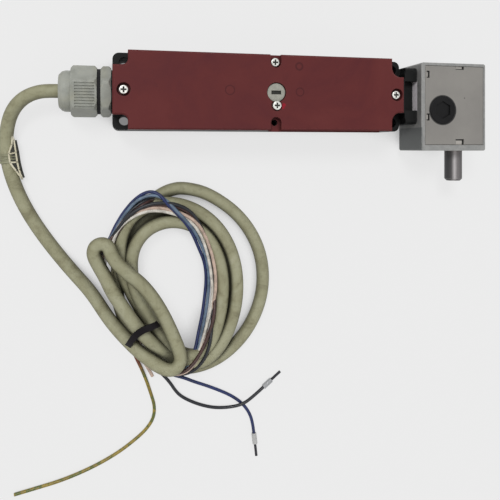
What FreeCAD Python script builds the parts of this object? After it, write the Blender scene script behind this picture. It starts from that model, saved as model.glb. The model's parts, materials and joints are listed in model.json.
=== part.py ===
import FreeCAD, Part
import math
import os

Vec = FreeCAD.Vector
X, Y, Z = Vec(1, 0, 0), Vec(0, 1, 0), Vec(0, 0, 1)

# Driving dimensions in millimetres
# The origin is the middle of the four mounting holes, on the mounting face.
# X runs along the housing to the head, Y across it and Z out of the mounting face.

# Mounting holes
hole_pitch_x = 150.0
hole_to_side = 5.0
hole_radius = 2.65
hole_to_left_end = 6.0
hole_to_right_end = 4.5

# Housing base
housing_width = 40.0
base_height = 29.0
side_wall = 2.5
right_wall = 5.2
base_floor = 3.0
pocket_depth = 7.0
pocket_x = 7.7
pocket_y = 7.5
pocket_wall = 1.8
pocket_corner_radius = 3.0
right_pocket_radius = 5.2
corner_radius = 3.4

# Cover
cover_thickness = 5.0
cover_roof = 2.5
cover_short_of_base = 2.7
cover_chamfer = 0.8
lip_start = 0.0
lip_length = 63.0
lip_reach = 0.8
lip_height = 2.0
gasket_width = 1.2
gasket_height = 0.8

# Cover screws
screw_shank_radius = 1.45
screw_head_radius = 2.4
screw_head_height = 2.0
screw_hole_radius = 1.7
screw_play = 0.05
cross_width = 0.9
cross_depth = 0.9
end_recess_radius = 3.5
end_recess_depth = 3.0
middle_recess_radius = 2.95
middle_recess_depth = 3.5
middle_screw_x = 3.3
middle_screw_to_side = 4.0
left_screw_inset = 5.5
right_screw_inset = 4.4
end_screw_depth = 3.2
middle_screw_depth = 13.0

# Auxiliary release
release_x = 3.6
release_radius = 5.05
release_height = 1.5
release_sink = 1.0
release_gap = 0.2
release_seal_height = 0.5
release_slot_length = 5.3
release_slot_width = 2.0
release_slot_depth = 0.9
release_shaft_radius = 3.0
release_boss_radius = 7.0
release_boss_depth = 3.0
release_cam_radius = 4.6
release_cam_height = 1.4
release_cam_gap = 0.3
release_pin_radius = 1.2
release_pin_offset = 3.2
release_pin_length = 3.2
lock_screw_offset = 7.0
lock_screw_recess_radius = 3.0
lock_screw_rise = 0.3
lock_screw_length = 3.4

# Flange between housing and head
neck_half_width = 8.9
neck_below_ears = 5.5
ear_inner_y = 8.2
ear_outer_y = 16.0
ear_radius = 2.5
flange_length = 6.8
head_gasket_thickness = 0.8

# Head
head_length = 39.8
head_top_y = 18.4
head_bottom_y = -30.9
head_back_z = 7.0
head_wall = 3.0
head_bottom_wall = 4.0
head_edge_radius = 1.2
head_inner_radius = 0.5
plate_thickness = 2.0
plate_rim_left = 2.2
plate_rim_right = 1.0
plate_rim_top = 1.5
plate_rim_bottom = 3.2
plate_gap = 0.1
clip_width = 1.8
clip_side_height = 3.9
clip_top_length = 5.2
clip_sink = 1.0
plug_x = 100.2
plug_y = -8.1
plug_radius = 7.7
plug_rise = 0.4
plug_depth = 1.2
plug_recess_radius = 5.1
plug_recess_depth = 1.0
head_screw_rise = 6.2
head_screw_drop = 5.0
head_screw_radius = 1.9
head_screw_head_radius = 2.8
head_screw_head_height = 2.5
head_screw_length = 9.6

# Mechanism
mechanism_below_cover = 9.0
running_gap = 0.05
free_gap = 0.3

# Bolt
bolt_x = 115.1
bolt_radius = 5.0
bolt_protrusion = 17.6
bolt_travel = 8.0
bolt_chamfer = 1.2
bolt_stem_radius = 3.0
bolt_stem_length = 15.4
bolt_guide_radius = 5.2
bolt_guide_start = 0.1
bush_radius = 7.0
collar_radius = 6.5
collar_thickness = 2.5
tip_groove = 4.0
bolt_spring_radius = 4.8
bolt_spring_wire = 0.6
bolt_spring_turns = 5

# Bell crank between bolt and plunger rod
crank_x = 100.5
crank_arm = 9.5
crank_drop = 0.4
crank_thickness = 4.0
crank_hub_radius = 4.0
crank_pin_radius = 2.0
tip_radius = 1.5
arm_width = 2.6
hub_arm_width = 4.4
pin_boss_radius = 3.2

# Plunger rod
rod_radius = 2.25
rod_start_x = 27.0
rod_block_wall = 2.5
rod_block_top = 5.0
rod_slot_top = 1.6
rod_block_bottom = -2.2
rod_block_half_height = 4.0
lock_collar_x = 27.55
lock_collar_radius = 5.5
lock_collar_thickness = 2.0

# Contacts
contact_x = 57.0
contact_blade_thickness = 1.0
contact_reach = 3.5
contact_half_height = 3.0
contact_block_start = 36.0
contact_block_end = 66.0
contact_block_gap = 1.5
contact_block_wall = 5.0
contact_block_base = 4.0
contact_block_rise = 5.0
carrier_length = 4.0
carrier_half_size = 5.0
bridge_to_block = 1.0
bridge_half_height = 2.5

# Solenoid
coil_start_x = -48.0
coil_length = 30.0
coil_radius = 9.0
bobbin_radius = 9.5
bobbin_wall = 0.8
bobbin_flange = 1.2
yoke_thickness = 2.2
yoke_half_width = 10.0
yoke_to_bobbin_top = 0.7
core_length = 10.0
armature_radius = 4.5
armature_travel = 2.4
armature_stem_radius = 3.0
armature_spring_radius = 5.4
armature_spring_wire = 0.45
armature_spring_turns = 4
armature_spring_length = 11.2
spring_collar_thickness = 1.5
lock_groove_x = 14.5
lock_groove = 4.2
armature_collar_thickness = 1.6

# Locking lever
lever_y = -11.5
lever_arm = 6.6
lever_pin_radius = 1.5
lever_hub_radius = 3.5
lever_reach = 10.0
tooth_width = 2.4
tooth_gap = 0.95
lever_arm_width = 3.5

# Terminals
terminal_gap = 1.5
terminal_length = 14.0
terminal_to_side = 2.5
terminal_margin = 1.0
terminal_height = 11.0
terminal_screw_radius = 1.8

# Cable gland
gland_below_cover = 13.0
gland_thread_radius = 10.0
gland_bore_radius = 7.6
gland_across_flats = 24.0
gland_turn = 13.0
gland_body_length = 5.3
gland_gap_length = 1.8
gland_gap_radius = 10.4
gland_nut_length = 13.1
gland_dome_length = 6.0
gland_dome_radius = 10.7
gland_dome_end_radius = 8.6
gland_seal_thickness = 0.6
insert_length = 14.0
insert_radius = 7.0
cable_radius = 3.6
cable_tail_length = 36.0
cable_fit = 0.05

# Places that follow from the driving dimensions
base_left = -hole_pitch_x / 2 - hole_to_left_end
base_right = hole_pitch_x / 2 + hole_to_right_end
half_width = housing_width / 2
hole_pitch_y = housing_width - 2 * hole_to_side
mechanism_z = base_height - mechanism_below_cover
gland_z = base_height - gland_below_cover
neck_top = base_height - neck_below_ears
cover_top = base_height + cover_thickness
cover_right = base_right - cover_short_of_base
cavity_left = base_left + pocket_x + pocket_wall
cavity_right = base_right - right_wall
cavity_y = half_width - side_wall
left_wall = cavity_left - base_left
right_block_x = hole_pitch_x / 2 - right_pocket_radius - pocket_wall
right_block_y = hole_pitch_y / 2 - right_pocket_radius - pocket_wall
pocket_floor = base_height - pocket_depth
cover_inside = cover_top - cover_roof
flange_end = base_right + flange_length
head_left = flange_end + head_gasket_thickness
head_right = head_left + head_length
head_inner_left = head_left + head_wall
head_inner_right = head_right - head_wall
head_inner_top = head_top_y - head_wall
head_inner_bottom = head_bottom_y + head_bottom_wall
head_floor = head_back_z + head_wall
plate_bottom_z = cover_top - plate_thickness
release_top = cover_top - release_sink
release_seat = release_top - release_height - release_seal_height - running_gap
left_screw_x = base_left + left_screw_inset
right_screw_x = cover_right - right_screw_inset
middle_screw_y = half_width - middle_screw_to_side
middle_seat = cover_top - middle_recess_depth
end_seat = cover_top - end_recess_depth
ear_screw_y = (ear_inner_y + ear_outer_y) / 2
head_screw_z_low = head_back_z + head_screw_rise
head_screw_z_high = base_height - head_screw_drop
contact_block_half_width = cavity_y - contact_block_gap
contact_wall_y = contact_block_half_width - contact_block_wall
bridge_half_length = contact_wall_y - bridge_to_block
terminal_start_x = cavity_left + terminal_gap
terminal_half_width = cavity_y - terminal_to_side
terminal_pitch = (terminal_half_width - terminal_margin) / 2
crank_y = -crank_arm - crank_drop
crank_angle = math.degrees(math.asin(bolt_travel / 2 / crank_arm))
groove_y = crank_y - bolt_travel / 2
rod_groove_x = crank_x + bolt_travel / 2
bolt_end_y = head_bottom_y - bolt_protrusion
bush_top_y = groove_y - tip_groove / 2 - collar_thickness - free_gap
lever_x = lock_groove_x - armature_travel / 2
lever_angle = 2 * math.degrees(math.asin(armature_travel / 2 / lever_arm))
lever_low = mechanism_z - crank_thickness / 2
armature_collar_radius = collar_radius
coil_end_x = coil_start_x + coil_length
yoke_left = coil_start_x - free_gap - yoke_thickness
yoke_right = coil_end_x + free_gap + yoke_thickness
yoke_low = mechanism_z - bobbin_radius - free_gap - yoke_thickness


def block(x0, x1, y0, y1, z0, z1):
    """A box between two corners."""
    return Part.makeBox(x1 - x0, y1 - y0, z1 - z0, Vec(x0, y0, z0))


def cylinder(place, axis, radius, length):
    return Part.makeCylinder(radius, length, Vec(*place), axis)


def fused(*shapes):
    whole = shapes[0].multiFuse(list(shapes[1:])) if len(shapes) > 1 else shapes[0]
    return whole.removeSplitter()


def turned_z(shape, x, y, degrees):
    """The shape turned about an upright line through x, y."""
    copy = shape.copy()
    copy.rotate(Vec(x, y, 0), Z, degrees)
    return copy


def edges_where(shape, test):
    """The edges whose bounding box passes the test."""
    return [e for e in shape.Edges if test(e.BoundBox)]


def is_upright(box):
    return box.ZLength > 0.5 and box.XLength < 1e-6 and box.YLength < 1e-6


def polygon_face(points, z):
    wire = Part.makePolygon([Vec(x, y, z) for x, y in points + points[:1]])
    return Part.Face(wire)


def screw(x, y, seat_z, length, head_radius=screw_head_radius):
    """A pan head screw with a cross recess, its head standing on seat_z."""
    top = seat_z + screw_head_height
    head = cylinder((x, y, seat_z), Z, head_radius, screw_head_height)
    head = head.makeFillet(0.6, edges_where(head, lambda b: b.ZMin > top - 0.01))
    shank = cylinder((x, y, seat_z - length), Z, screw_shank_radius, length + 0.5)
    reach = head_radius * 0.62
    half = cross_width / 2
    cross = fused(
        block(x - reach, x + reach, y - half, y + half, top - cross_depth, top + 1),
        block(x - half, x + half, y - reach, y + reach, top - cross_depth, top + 1),
    )
    return fused(head, shank).cut(cross)


def tangent_edges(places, closed=False):
    """Straight runs joined by tangent arcs, each as large as its two runs allow."""
    if closed:
        corners = list(zip(places[-1:] + places[:-1], places, places[1:] + places[:1]))
    else:
        corners = list(zip(places, places[1:], places[2:]))
    arcs, radii = [], []
    for before, corner, after in corners:
        into, out = corner - before, after - corner
        half_turn = into.getAngle(out) / 2
        tangent = 0.45 * min(into.Length, out.Length)
        bend = tangent / math.tan(half_turn)
        into.normalize()
        out.normalize()
        inward = out - into
        inward.normalize()
        middle = corner + inward * (bend / math.cos(half_turn) - bend)
        arcs.append((corner - into * tangent, middle, corner + out * tangent))
        radii.append(bend)
    ends = [arc[2] for arc in arcs]
    starts = [arcs[-1][2]] + ends[:-1] if closed else [places[0]] + ends[:-1]
    edges = []
    for start, arc in zip(starts, arcs):
        edges.append(Part.LineSegment(start, arc[0]).toShape())
        edges.append(Part.Arc(*arc).toShape())
    if not closed:
        edges.append(Part.LineSegment(ends[-1], places[-1]).toShape())
    return edges, radii


def swept_round(places, radius):
    """A round bar along the places, its path and the radii of its bends."""
    edges, radii = tangent_edges(places)
    path = Part.Wire(edges)
    profile = Part.Wire(Part.makeCircle(radius, places[0], places[1] - places[0]))
    return path.makePipeShell([profile], True, False), path, radii


# Housing


def cavity_face(grow, z):
    """The outline of the housing's inside, grown outwards by a distance."""
    left, right, side = cavity_left - grow, cavity_right + grow, cavity_y + grow
    inner_right, low_right = right_block_x + grow, right_block_y + grow
    upper = [(right, low_right), (inner_right, low_right), (inner_right, side), (left, side)]
    lower = [(x, -y) for x, y in reversed(upper)]
    return polygon_face(upper + lower, z)


def corner_pockets(z0, z1):
    """The four open corners above the mounting holes."""
    beyond = 5.0
    pockets = []
    for side in (1, -1):
        edge_y, hole_y = side * (half_width + beyond), side * hole_pitch_y / 2
        inner_y = side * (half_width - pocket_y)
        left = block(
            base_left - beyond, base_left + pocket_x,
            min(inner_y, edge_y), max(inner_y, edge_y), z0, z1,
        )
        inner = base_left + pocket_x
        rounded = edges_where(
            left,
            lambda b, y=inner_y: is_upright(b) and abs(b.XMin - inner) < 0.01 and abs(b.YMin - y) < 0.01,
        )
        pockets.append(left.makeFillet(pocket_corner_radius, rounded))
        hole_x, radius = hole_pitch_x / 2, right_pocket_radius
        round_part = cylinder((hole_x, hole_y, z0), Z, radius, z1 - z0)
        over = block(
            hole_x - radius, base_right, min(hole_y, edge_y), max(hole_y, edge_y), z0, z1
        )
        near_y = hole_y - side * radius
        beside = block(
            hole_x, base_right, min(near_y, edge_y), max(near_y, edge_y), z0, z1
        )
        pockets.append(fused(round_part, over, beside))
    return pockets


def flange():
    """The neck and the two ears that carry the head."""
    neck = block(
        base_right - 1, flange_end, -neck_half_width, neck_half_width, head_back_z, neck_top
    )
    ears = []
    for side in (1, -1):
        low, high = sorted((side * ear_inner_y, side * ear_outer_y))
        ear = block(base_right - 1, flange_end, low, high, head_back_z, base_height)
        outer = side * ear_outer_y
        top = edges_where(
            ear,
            lambda b, y=outer: b.XLength > 1 and b.ZMin > base_height - 0.01 and abs(b.YMin - y) < 0.01,
        )
        ears.append(ear.makeFillet(ear_radius, top))
    return fused(neck, *ears)


def base_housing():
    shell = block(base_left, base_right, -half_width, half_width, 0, base_height)
    shell = shell.makeFillet(corner_radius, edges_where(shell, is_upright))
    cavity = cavity_face(0, base_floor).extrude(Z * base_height)
    shell = fused(shell.cut(cavity), flange())
    boss_half = screw_head_radius + 0.9
    for side in (1, -1):
        inner = side * (middle_screw_y - boss_half)
        low, high = sorted((inner, side * (cavity_y + 1)))
        shell = shell.fuse(
            block(middle_screw_x - boss_half, middle_screw_x + boss_half, low, high, base_floor, base_height)
        )
    rod_clear = mechanism_z + rod_radius + 1.5
    shell = shell.fuse(
        block(right_screw_x - boss_half, cavity_right + 1, -boss_half, boss_half, rod_clear, base_height)
    )
    for x in (yoke_left, yoke_right - yoke_thickness):
        shell = shell.fuse(
            block(x, x + yoke_thickness, -yoke_half_width, yoke_half_width, base_floor - 0.5, yoke_low)
        )
    shell = shell.fuse(
        cylinder(
            (lever_x, lever_y, base_floor - 0.5), Z, pin_boss_radius,
            lever_low - free_gap - base_floor + 0.5,
        )
    )
    cuts = corner_pockets(pocket_floor, base_height + 1)
    for x in (-hole_pitch_x / 2, hole_pitch_x / 2):
        for y in (-hole_pitch_y / 2, hole_pitch_y / 2):
            cuts.append(cylinder((x, y, -1), Z, hole_radius, base_height))
    pilot = screw_shank_radius + screw_play
    for x, y, depth in screw_places():
        cuts.append(cylinder((x, y, base_height - depth), Z, pilot, depth + 1))
    inlet = cylinder((base_left - 1, 0, gland_z), X, gland_thread_radius + cable_fit, left_wall + 2)
    rod_way = cylinder((cavity_right - 1, 0, mechanism_z), X, rod_radius + running_gap, 20)
    pin_hole = cylinder(
        (lever_x, lever_y, base_floor), Z, lever_pin_radius + 0.01, base_height
    )
    cuts += [inlet, rod_way, pin_hole]
    for y, z in head_screw_places():
        cuts.append(
            cylinder(
                (head_left + head_wall - head_screw_length - 0.3, y, z), X,
                head_screw_radius + screw_play, 20,
            )
        )
    return shell.cut(cuts).removeSplitter()


def screw_places():
    """Each cover screw hole: its place and its depth below the base's top edge."""
    return [
        (left_screw_x, 0, end_screw_depth),
        (right_screw_x, 0, end_screw_depth),
        (middle_screw_x, middle_screw_y, middle_screw_depth),
        (middle_screw_x, -middle_screw_y, middle_screw_depth),
    ]


def cover():
    body = block(base_left, cover_right, -half_width, half_width, base_height, cover_top)
    body = body.cut(corner_pockets(base_height - 1, cover_top + 1))
    lip_z = base_height + 0.4
    lip = block(
        lip_start, lip_start + lip_length, -half_width - lip_reach, -half_width + 1,
        lip_z, lip_z + lip_height,
    )
    top_edges = edges_where(body, lambda b: b.ZMin > cover_top - 0.01)
    body = body.makeChamfer(cover_chamfer, top_edges)
    body = body.fuse(lip)
    inside = cavity_face(-0.2, base_height).extrude(Z * (cover_inside - base_height))
    margin = screw_head_radius + 1.0
    pads = [
        cylinder((x, y, base_height), Z, margin, cover_thickness)
        for x, y, _ in screw_places()
    ]
    boss_low = cover_inside - release_boss_depth
    pads.append(
        cylinder((release_x, 0, boss_low), Z, release_boss_radius, release_boss_depth + 0.5)
    )
    hollow = inside.cut(pads[:4])
    body = body.cut(hollow).fuse(pads[4])
    cuts = []
    for x, y, _ in screw_places():
        cuts.append(cylinder((x, y, base_height - 1), Z, screw_hole_radius, 20))
    for x in (left_screw_x, right_screw_x):
        cuts.append(cylinder((x, 0, end_seat), Z, end_recess_radius, 10))
    for side in (1, -1):
        y = side * middle_screw_y
        low, high = sorted((y, side * (half_width + 2)))
        cuts.append(cylinder((middle_screw_x, y, middle_seat), Z, middle_recess_radius, 10))
        cuts.append(
            block(
                middle_screw_x - middle_recess_radius, middle_screw_x + middle_recess_radius,
                low, high, middle_seat, cover_top + 5,
            )
        )
    bore = cylinder(
        (release_x, 0, boss_low - 1), Z, release_shaft_radius + running_gap, release_boss_depth + 5
    )
    recess = cylinder((release_x, 0, release_seat), Z, release_radius + release_gap, 10)
    lock_y = -lock_screw_offset
    lock_recess = cylinder((release_x, lock_y, release_top + lock_screw_rise), Z, lock_screw_recess_radius, 5)
    lock_hole = cylinder(
        (release_x, lock_y, release_top - lock_screw_length - 0.3), Z,
        screw_shank_radius + screw_play, 10,
    )
    groove = gasket_ring(gasket_width + 0.1, base_height - 1, gasket_height + 1.05)
    cuts += [bore, recess, lock_recess, lock_hole, groove]
    return body.cut(cuts).removeSplitter()


def gasket_ring(width, z, height):
    """A ring that follows the rim of the housing's inside."""
    middle = (side_wall - 0.2) / 2
    outer = cavity_face(middle + width / 2, z)
    inner = cavity_face(middle - width / 2, z)
    return outer.cut(inner).extrude(Z * height)


def cover_gasket():
    ring = gasket_ring(gasket_width, base_height, gasket_height)
    holes = [
        cylinder((x, y, base_height - 1), Z, screw_hole_radius, 5) for x, y, _ in screw_places()
    ]
    return ring.cut(holes)


def cover_screws():
    """Three screws: the one nearest the lower edge is missing."""
    return Part.makeCompound([
        screw(left_screw_x, 0, end_seat, end_seat - base_height + end_screw_depth - 0.5),
        screw(right_screw_x, 0, end_seat, end_seat - base_height + end_screw_depth - 0.5),
        screw(
            middle_screw_x, middle_screw_y, middle_seat,
            middle_seat - base_height + middle_screw_depth - 0.5,
        ),
    ])


# Auxiliary release


def release_disc():
    """The slotted disc, its shaft through the cover and the cam pin under it."""
    disc_z = release_top - release_height
    cam_top = cover_inside - release_boss_depth - release_cam_gap
    cam_z = cam_top - release_cam_height
    disc = cylinder((release_x, 0, disc_z), Z, release_radius, release_height)
    disc = disc.makeChamfer(0.3, edges_where(disc, lambda b: b.ZMin > release_top - 0.01))
    slot = block(
        release_x - release_slot_length / 2, release_x + release_slot_length / 2,
        -release_slot_width / 2, release_slot_width / 2,
        release_top - release_slot_depth, release_top + 1,
    )
    shaft = cylinder((release_x, 0, cam_z), Z, release_shaft_radius, disc_z - cam_z + 0.2)
    cam = cylinder((release_x, 0, cam_z), Z, release_cam_radius, release_cam_height)
    pin = cylinder(
        (release_x, release_pin_offset, cam_z - release_pin_length), Z,
        release_pin_radius, release_pin_length + 0.2,
    )
    return fused(disc.cut(slot), shaft, cam, pin)


def release_seal():
    outer = cylinder((release_x, 0, release_seat), Z, release_radius - 0.2, release_seal_height)
    return outer.cut(
        cylinder((release_x, 0, release_seat - 1), Z, release_shaft_radius + release_gap, 5)
    )


def release_lock_screw():
    """The securing screw, whose head stands over the disc's rim."""
    return screw(
        release_x, -lock_screw_offset, release_top + lock_screw_rise,
        lock_screw_length + lock_screw_rise,
    )


# Cable gland


def hexagon_x(x, length, across_flats, z, turn=0.0):
    """A hexagonal bar along X, turned from having two corners to the sides."""
    corner = across_flats / math.sqrt(3)
    points = []
    for number in range(6):
        angle = math.radians(60 * number + turn)
        points.append(Vec(x, corner * math.cos(angle), z + corner * math.sin(angle)))
    return Part.Face(Part.makePolygon(points + points[:1])).extrude(X * length)


def gland_bore(radius):
    return cylinder((base_left - 60, 0, gland_z), X, radius, 80)


def gland_body():
    hexagon_start = base_left - gland_seal_thickness - gland_body_length
    hexagon = hexagon_x(
        hexagon_start, gland_body_length, gland_across_flats, gland_z, gland_turn
    )
    crown = cylinder((hexagon_start, 0, gland_z), X, gland_across_flats / 2 + 1.4, gland_body_length)
    crown = crown.makeChamfer(1.2, crown.Edges)
    collar = cylinder(
        (hexagon_start - gland_gap_length, 0, gland_z), X, gland_gap_radius, gland_gap_length + 1
    )
    thread = cylinder(
        (hexagon_start, 0, gland_z), X, gland_thread_radius,
        gland_body_length + gland_seal_thickness + left_wall,
    )
    whole = fused(hexagon.common(crown), collar, thread)
    return whole.cut(gland_bore(gland_bore_radius))


def gland_seal():
    ring = cylinder(
        (base_left - gland_seal_thickness, 0, gland_z), X, gland_across_flats / 2 - 0.6,
        gland_seal_thickness,
    )
    return ring.cut(gland_bore(gland_thread_radius + cable_fit))


def nut_end_x():
    return base_left - gland_seal_thickness - gland_body_length - gland_gap_length


def gland_exit_x():
    """Where the cable leaves the gland."""
    return nut_end_x() - gland_nut_length - gland_dome_length


def gland_nut():
    """The grooved cap nut and its dome, as one piece."""
    nut_start = nut_end_x() - gland_nut_length
    exit_x = gland_exit_x()
    hexagon = hexagon_x(nut_start, gland_nut_length, gland_across_flats, gland_z, gland_turn)
    crown = cylinder((nut_start, 0, gland_z), X, gland_across_flats / 2 + 1.5, gland_nut_length)
    crown = crown.makeChamfer(1.2, crown.Edges)
    grooves = []
    groove_pitch, groove_width, groove_depth = 1.5, 0.7, 0.5
    flat_z = gland_z + gland_across_flats / 2
    for flat in (0, 180):
        for row in range(-4, 5):
            low = row * groove_pitch - groove_width / 2
            groove = block(
                nut_start + 2.2, nut_start + gland_nut_length - 1.2, low, low + groove_width,
                flat_z - groove_depth, flat_z + 0.5,
            )
            groove.rotate(Vec(0, 0, gland_z), X, flat + gland_turn)
            grooves.append(groove)
    profile = Part.makePolygon([
        Vec(exit_x, 0, 0), Vec(exit_x, gland_dome_end_radius, 0),
        Vec(exit_x + 1.6, gland_dome_radius - 0.5, 0),
        Vec(exit_x + 3.2, gland_dome_radius, 0),
        Vec(nut_start + 0.5, gland_dome_radius, 0), Vec(nut_start + 0.5, 0, 0), Vec(exit_x, 0, 0),
    ])
    dome = Part.Face(profile).revolve(Vec(0, 0, 0), X, 360)
    dome.translate(Z * gland_z)
    whole = fused(hexagon.common(crown), dome)
    whole = whole.cut(grooves)
    whole = whole.cut(gland_bore(cable_radius + 0.6))
    chamber = cylinder(
        (nut_end_x() - insert_length, 0, gland_z), X, insert_radius + 0.1, insert_length + 1
    )
    return whole.cut(chamber)


def gland_insert():
    """The rubber ring that grips the cable."""
    ring = cylinder((nut_end_x() - insert_length, 0, gland_z), X, insert_radius, insert_length)
    return ring.cut(gland_bore(cable_radius + cable_fit))


def cable_tail():
    """The end of the sheath inside the gland and the housing."""
    return cylinder((gland_exit_x(), 0, gland_z), X, cable_radius, cable_tail_length)


# Head


def head_screw_places():
    return [
        (side * ear_screw_y, z)
        for side in (1, -1) for z in (head_screw_z_low, head_screw_z_high)
    ]


def clip_slots(z0, z1, grow=0.0):
    """The places of the four clips that hold the front plate."""
    left = head_left + plate_rim_left + 1.0
    places = [
        (left, left + clip_width, 9.9, 9.9 + clip_side_height),
        (left, left + clip_width, -10.1 - clip_side_height, -10.1),
    ]
    mid = (head_left + head_right) / 2 + 3.8
    half = clip_top_length / 2
    top = head_top_y - plate_rim_top - 0.2
    bottom = head_bottom_y + plate_rim_bottom + 0.3
    places.append((mid - half, mid + half, top - clip_width, top))
    places.append((mid - half, mid + half, bottom, bottom + 3.0))
    return [
        block(x0 - grow, x1 + grow, y0 - grow, y1 + grow, z0, z1) for x0, x1, y0, y1 in places
    ]


def plate_outline(grow, z0, z1):
    return block(
        head_left + plate_rim_left - grow, head_right - plate_rim_right + grow,
        head_bottom_y + plate_rim_bottom - grow, head_top_y - plate_rim_top + grow, z0, z1,
    )


def head_casing():
    """The die-cast box, open to the front."""
    body = block(head_left, head_right, head_bottom_y, head_top_y, head_back_z, cover_top)
    body = body.makeFillet(head_edge_radius, edges_where(body, is_upright))
    cavity = block(
        head_inner_left, head_inner_right, head_inner_bottom, head_inner_top, head_floor, cover_top + 1
    )
    cavity = cavity.makeFillet(head_inner_radius, edges_where(cavity, is_upright))
    body = body.cut([cavity, plate_outline(0, plate_bottom_z, cover_top + 1)])
    boss = cylinder(
        (bolt_x, head_bottom_y + 1, mechanism_z), Y, bush_radius + 2.2,
        bush_top_y - head_bottom_y - 1,
    )
    crank_boss = cylinder(
        (crank_x, crank_y, head_floor - 0.5), Z, pin_boss_radius,
        lever_low - free_gap - head_floor + 0.5,
    )
    body = body.fuse([boss, crank_boss])
    cuts = [
        cylinder((bolt_x, head_bottom_y - 1, mechanism_z), Y, bush_radius + 0.02, 30),
        cylinder((crank_x, crank_y, head_floor), Z, crank_pin_radius + 0.01, 20),
        cylinder((head_left - 1, 0, mechanism_z), X, rod_radius + running_gap, head_wall + 2),
    ]
    for y, z in head_screw_places():
        cuts.append(cylinder((head_left - 1, y, z), X, head_screw_radius + screw_play, head_wall + 2))
    return body.cut(cuts).removeSplitter()


def head_front_plate():
    plate = plate_outline(-plate_gap, plate_bottom_z, cover_top)
    plate = plate.makeChamfer(0.3, edges_where(plate, lambda b: b.ZMin > cover_top - 0.01))
    slots = clip_slots(cover_top - clip_sink, cover_top + 1)
    hole = cylinder((plug_x, plug_y, plate_bottom_z - 1), Z, plug_radius + 0.05, 5)
    return plate.cut(slots + [hole])


def head_plug():
    """The round blanking plug with its hexagonal recess."""
    top = cover_top + plug_rise
    bottom = plate_bottom_z - plug_depth
    plug = cylinder((plug_x, plug_y, bottom), Z, plug_radius, top - bottom)
    plug = plug.makeChamfer(0.4, edges_where(plug, lambda b: b.ZMin > top - 0.01))
    points = [
        Vec(
            plug_x + plug_recess_radius * math.cos(math.radians(a)),
            plug_y + plug_recess_radius * math.sin(math.radians(a)), top - plug_recess_depth,
        )
        for a in range(30, 390, 60)
    ]
    recess = Part.Face(Part.makePolygon(points + points[:1])).extrude(Z * 5)
    return plug.cut(recess)


def head_gasket():
    start = flange_end
    pad = flange().common(block(flange_end - 2, flange_end, -50, 50, -50, 50))
    face = pad.Faces[0]
    for candidate in pad.Faces:
        if candidate.BoundBox.XMin > flange_end - 0.01:
            face = candidate
    sheet = face.extrude(X * head_gasket_thickness)
    cuts = [cylinder((start - 1, 0, mechanism_z), X, rod_radius + 0.3, 5)]
    for y, z in head_screw_places():
        cuts.append(cylinder((start - 1, y, z), X, head_screw_radius + screw_play, 5))
    return sheet.cut(cuts)


def head_screws():
    screws = []
    for y, z in head_screw_places():
        head = cylinder((head_inner_left, y, z), X, head_screw_head_radius, head_screw_head_height)
        shank = cylinder(
            (head_inner_left - head_screw_length, y, z), X, head_screw_radius, head_screw_length + 0.5
        )
        socket = hexagon_x(
            head_inner_left + head_screw_head_height - 1.3, 2, head_screw_head_radius, z
        )
        socket.translate(Y * y)
        screws.append(fused(head, shank).cut(socket))
    return Part.makeCompound(screws)


# Bolt and bell crank


def bolt_guide_bush():
    length = bush_top_y - head_bottom_y
    ring = cylinder((bolt_x, head_bottom_y, mechanism_z), Y, bush_radius, length)
    bore = cylinder(
        (bolt_x, head_bottom_y - 1, mechanism_z), Y, bolt_guide_radius + running_gap, length + 2
    )
    return ring.cut(bore)


def actuator_bolt():
    """The round bolt, with a groove between two collars for the bell crank."""
    low_collar = groove_y - tip_groove / 2 - collar_thickness
    high_collar = groove_y + tip_groove / 2
    guide_y = head_bottom_y - bolt_guide_start
    nose = cylinder((bolt_x, bolt_end_y, mechanism_z), Y, bolt_radius, low_collar - bolt_end_y)
    nose = nose.makeChamfer(bolt_chamfer, edges_where(nose, lambda b: b.YMax < bolt_end_y + 0.01))
    guide = cylinder((bolt_x, guide_y, mechanism_z), Y, bolt_guide_radius, low_collar - guide_y)
    stem = cylinder(
        (bolt_x, low_collar, mechanism_z), Y, bolt_stem_radius,
        high_collar + collar_thickness + bolt_stem_length - low_collar,
    )
    collars = [
        cylinder((bolt_x, y, mechanism_z), Y, collar_radius, collar_thickness)
        for y in (low_collar, high_collar)
    ]
    return fused(nose, guide, stem, *collars)


def spring(start, axis, side, radius, wire, turns, length):
    """A coil spring along axis from start, its wire bent six times a turn."""
    corner_radius_share = 1.055
    across = axis.cross(side)
    places = []
    for step in range(6 * turns + 1):
        angle = math.radians(60 * step)
        along = wire + (length - 2 * wire) * step / (6 * turns)
        out = radius * corner_radius_share
        places.append(
            Vec(*start) + axis * along + side * (out * math.cos(angle))
            + across * (out * math.sin(angle))
        )
    return swept_round(places, wire)[0]


def bolt_spring():
    start = groove_y + tip_groove / 2 + collar_thickness
    return spring(
        (bolt_x, start, mechanism_z), Y, X, bolt_spring_radius, bolt_spring_wire,
        bolt_spring_turns, head_inner_top - start,
    )


def tapered_arm(x, y, angle, length, root_width):
    """A flat arm from a hub to a round tip, at an angle from X."""
    half_root, half_tip = root_width / 2, arm_width / 2
    face = polygon_face(
        [(0, -half_root), (length, -half_tip), (length, half_tip), (0, half_root)], lever_low
    )
    arm = face.extrude(Z * crank_thickness)
    tip = cylinder((length, 0, lever_low), Z, tip_radius, crank_thickness)
    arm = fused(arm, tip)
    arm.rotate(Vec(0, 0, 0), Z, angle)
    arm.translate(Vec(x, y, 0))
    return arm


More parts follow.
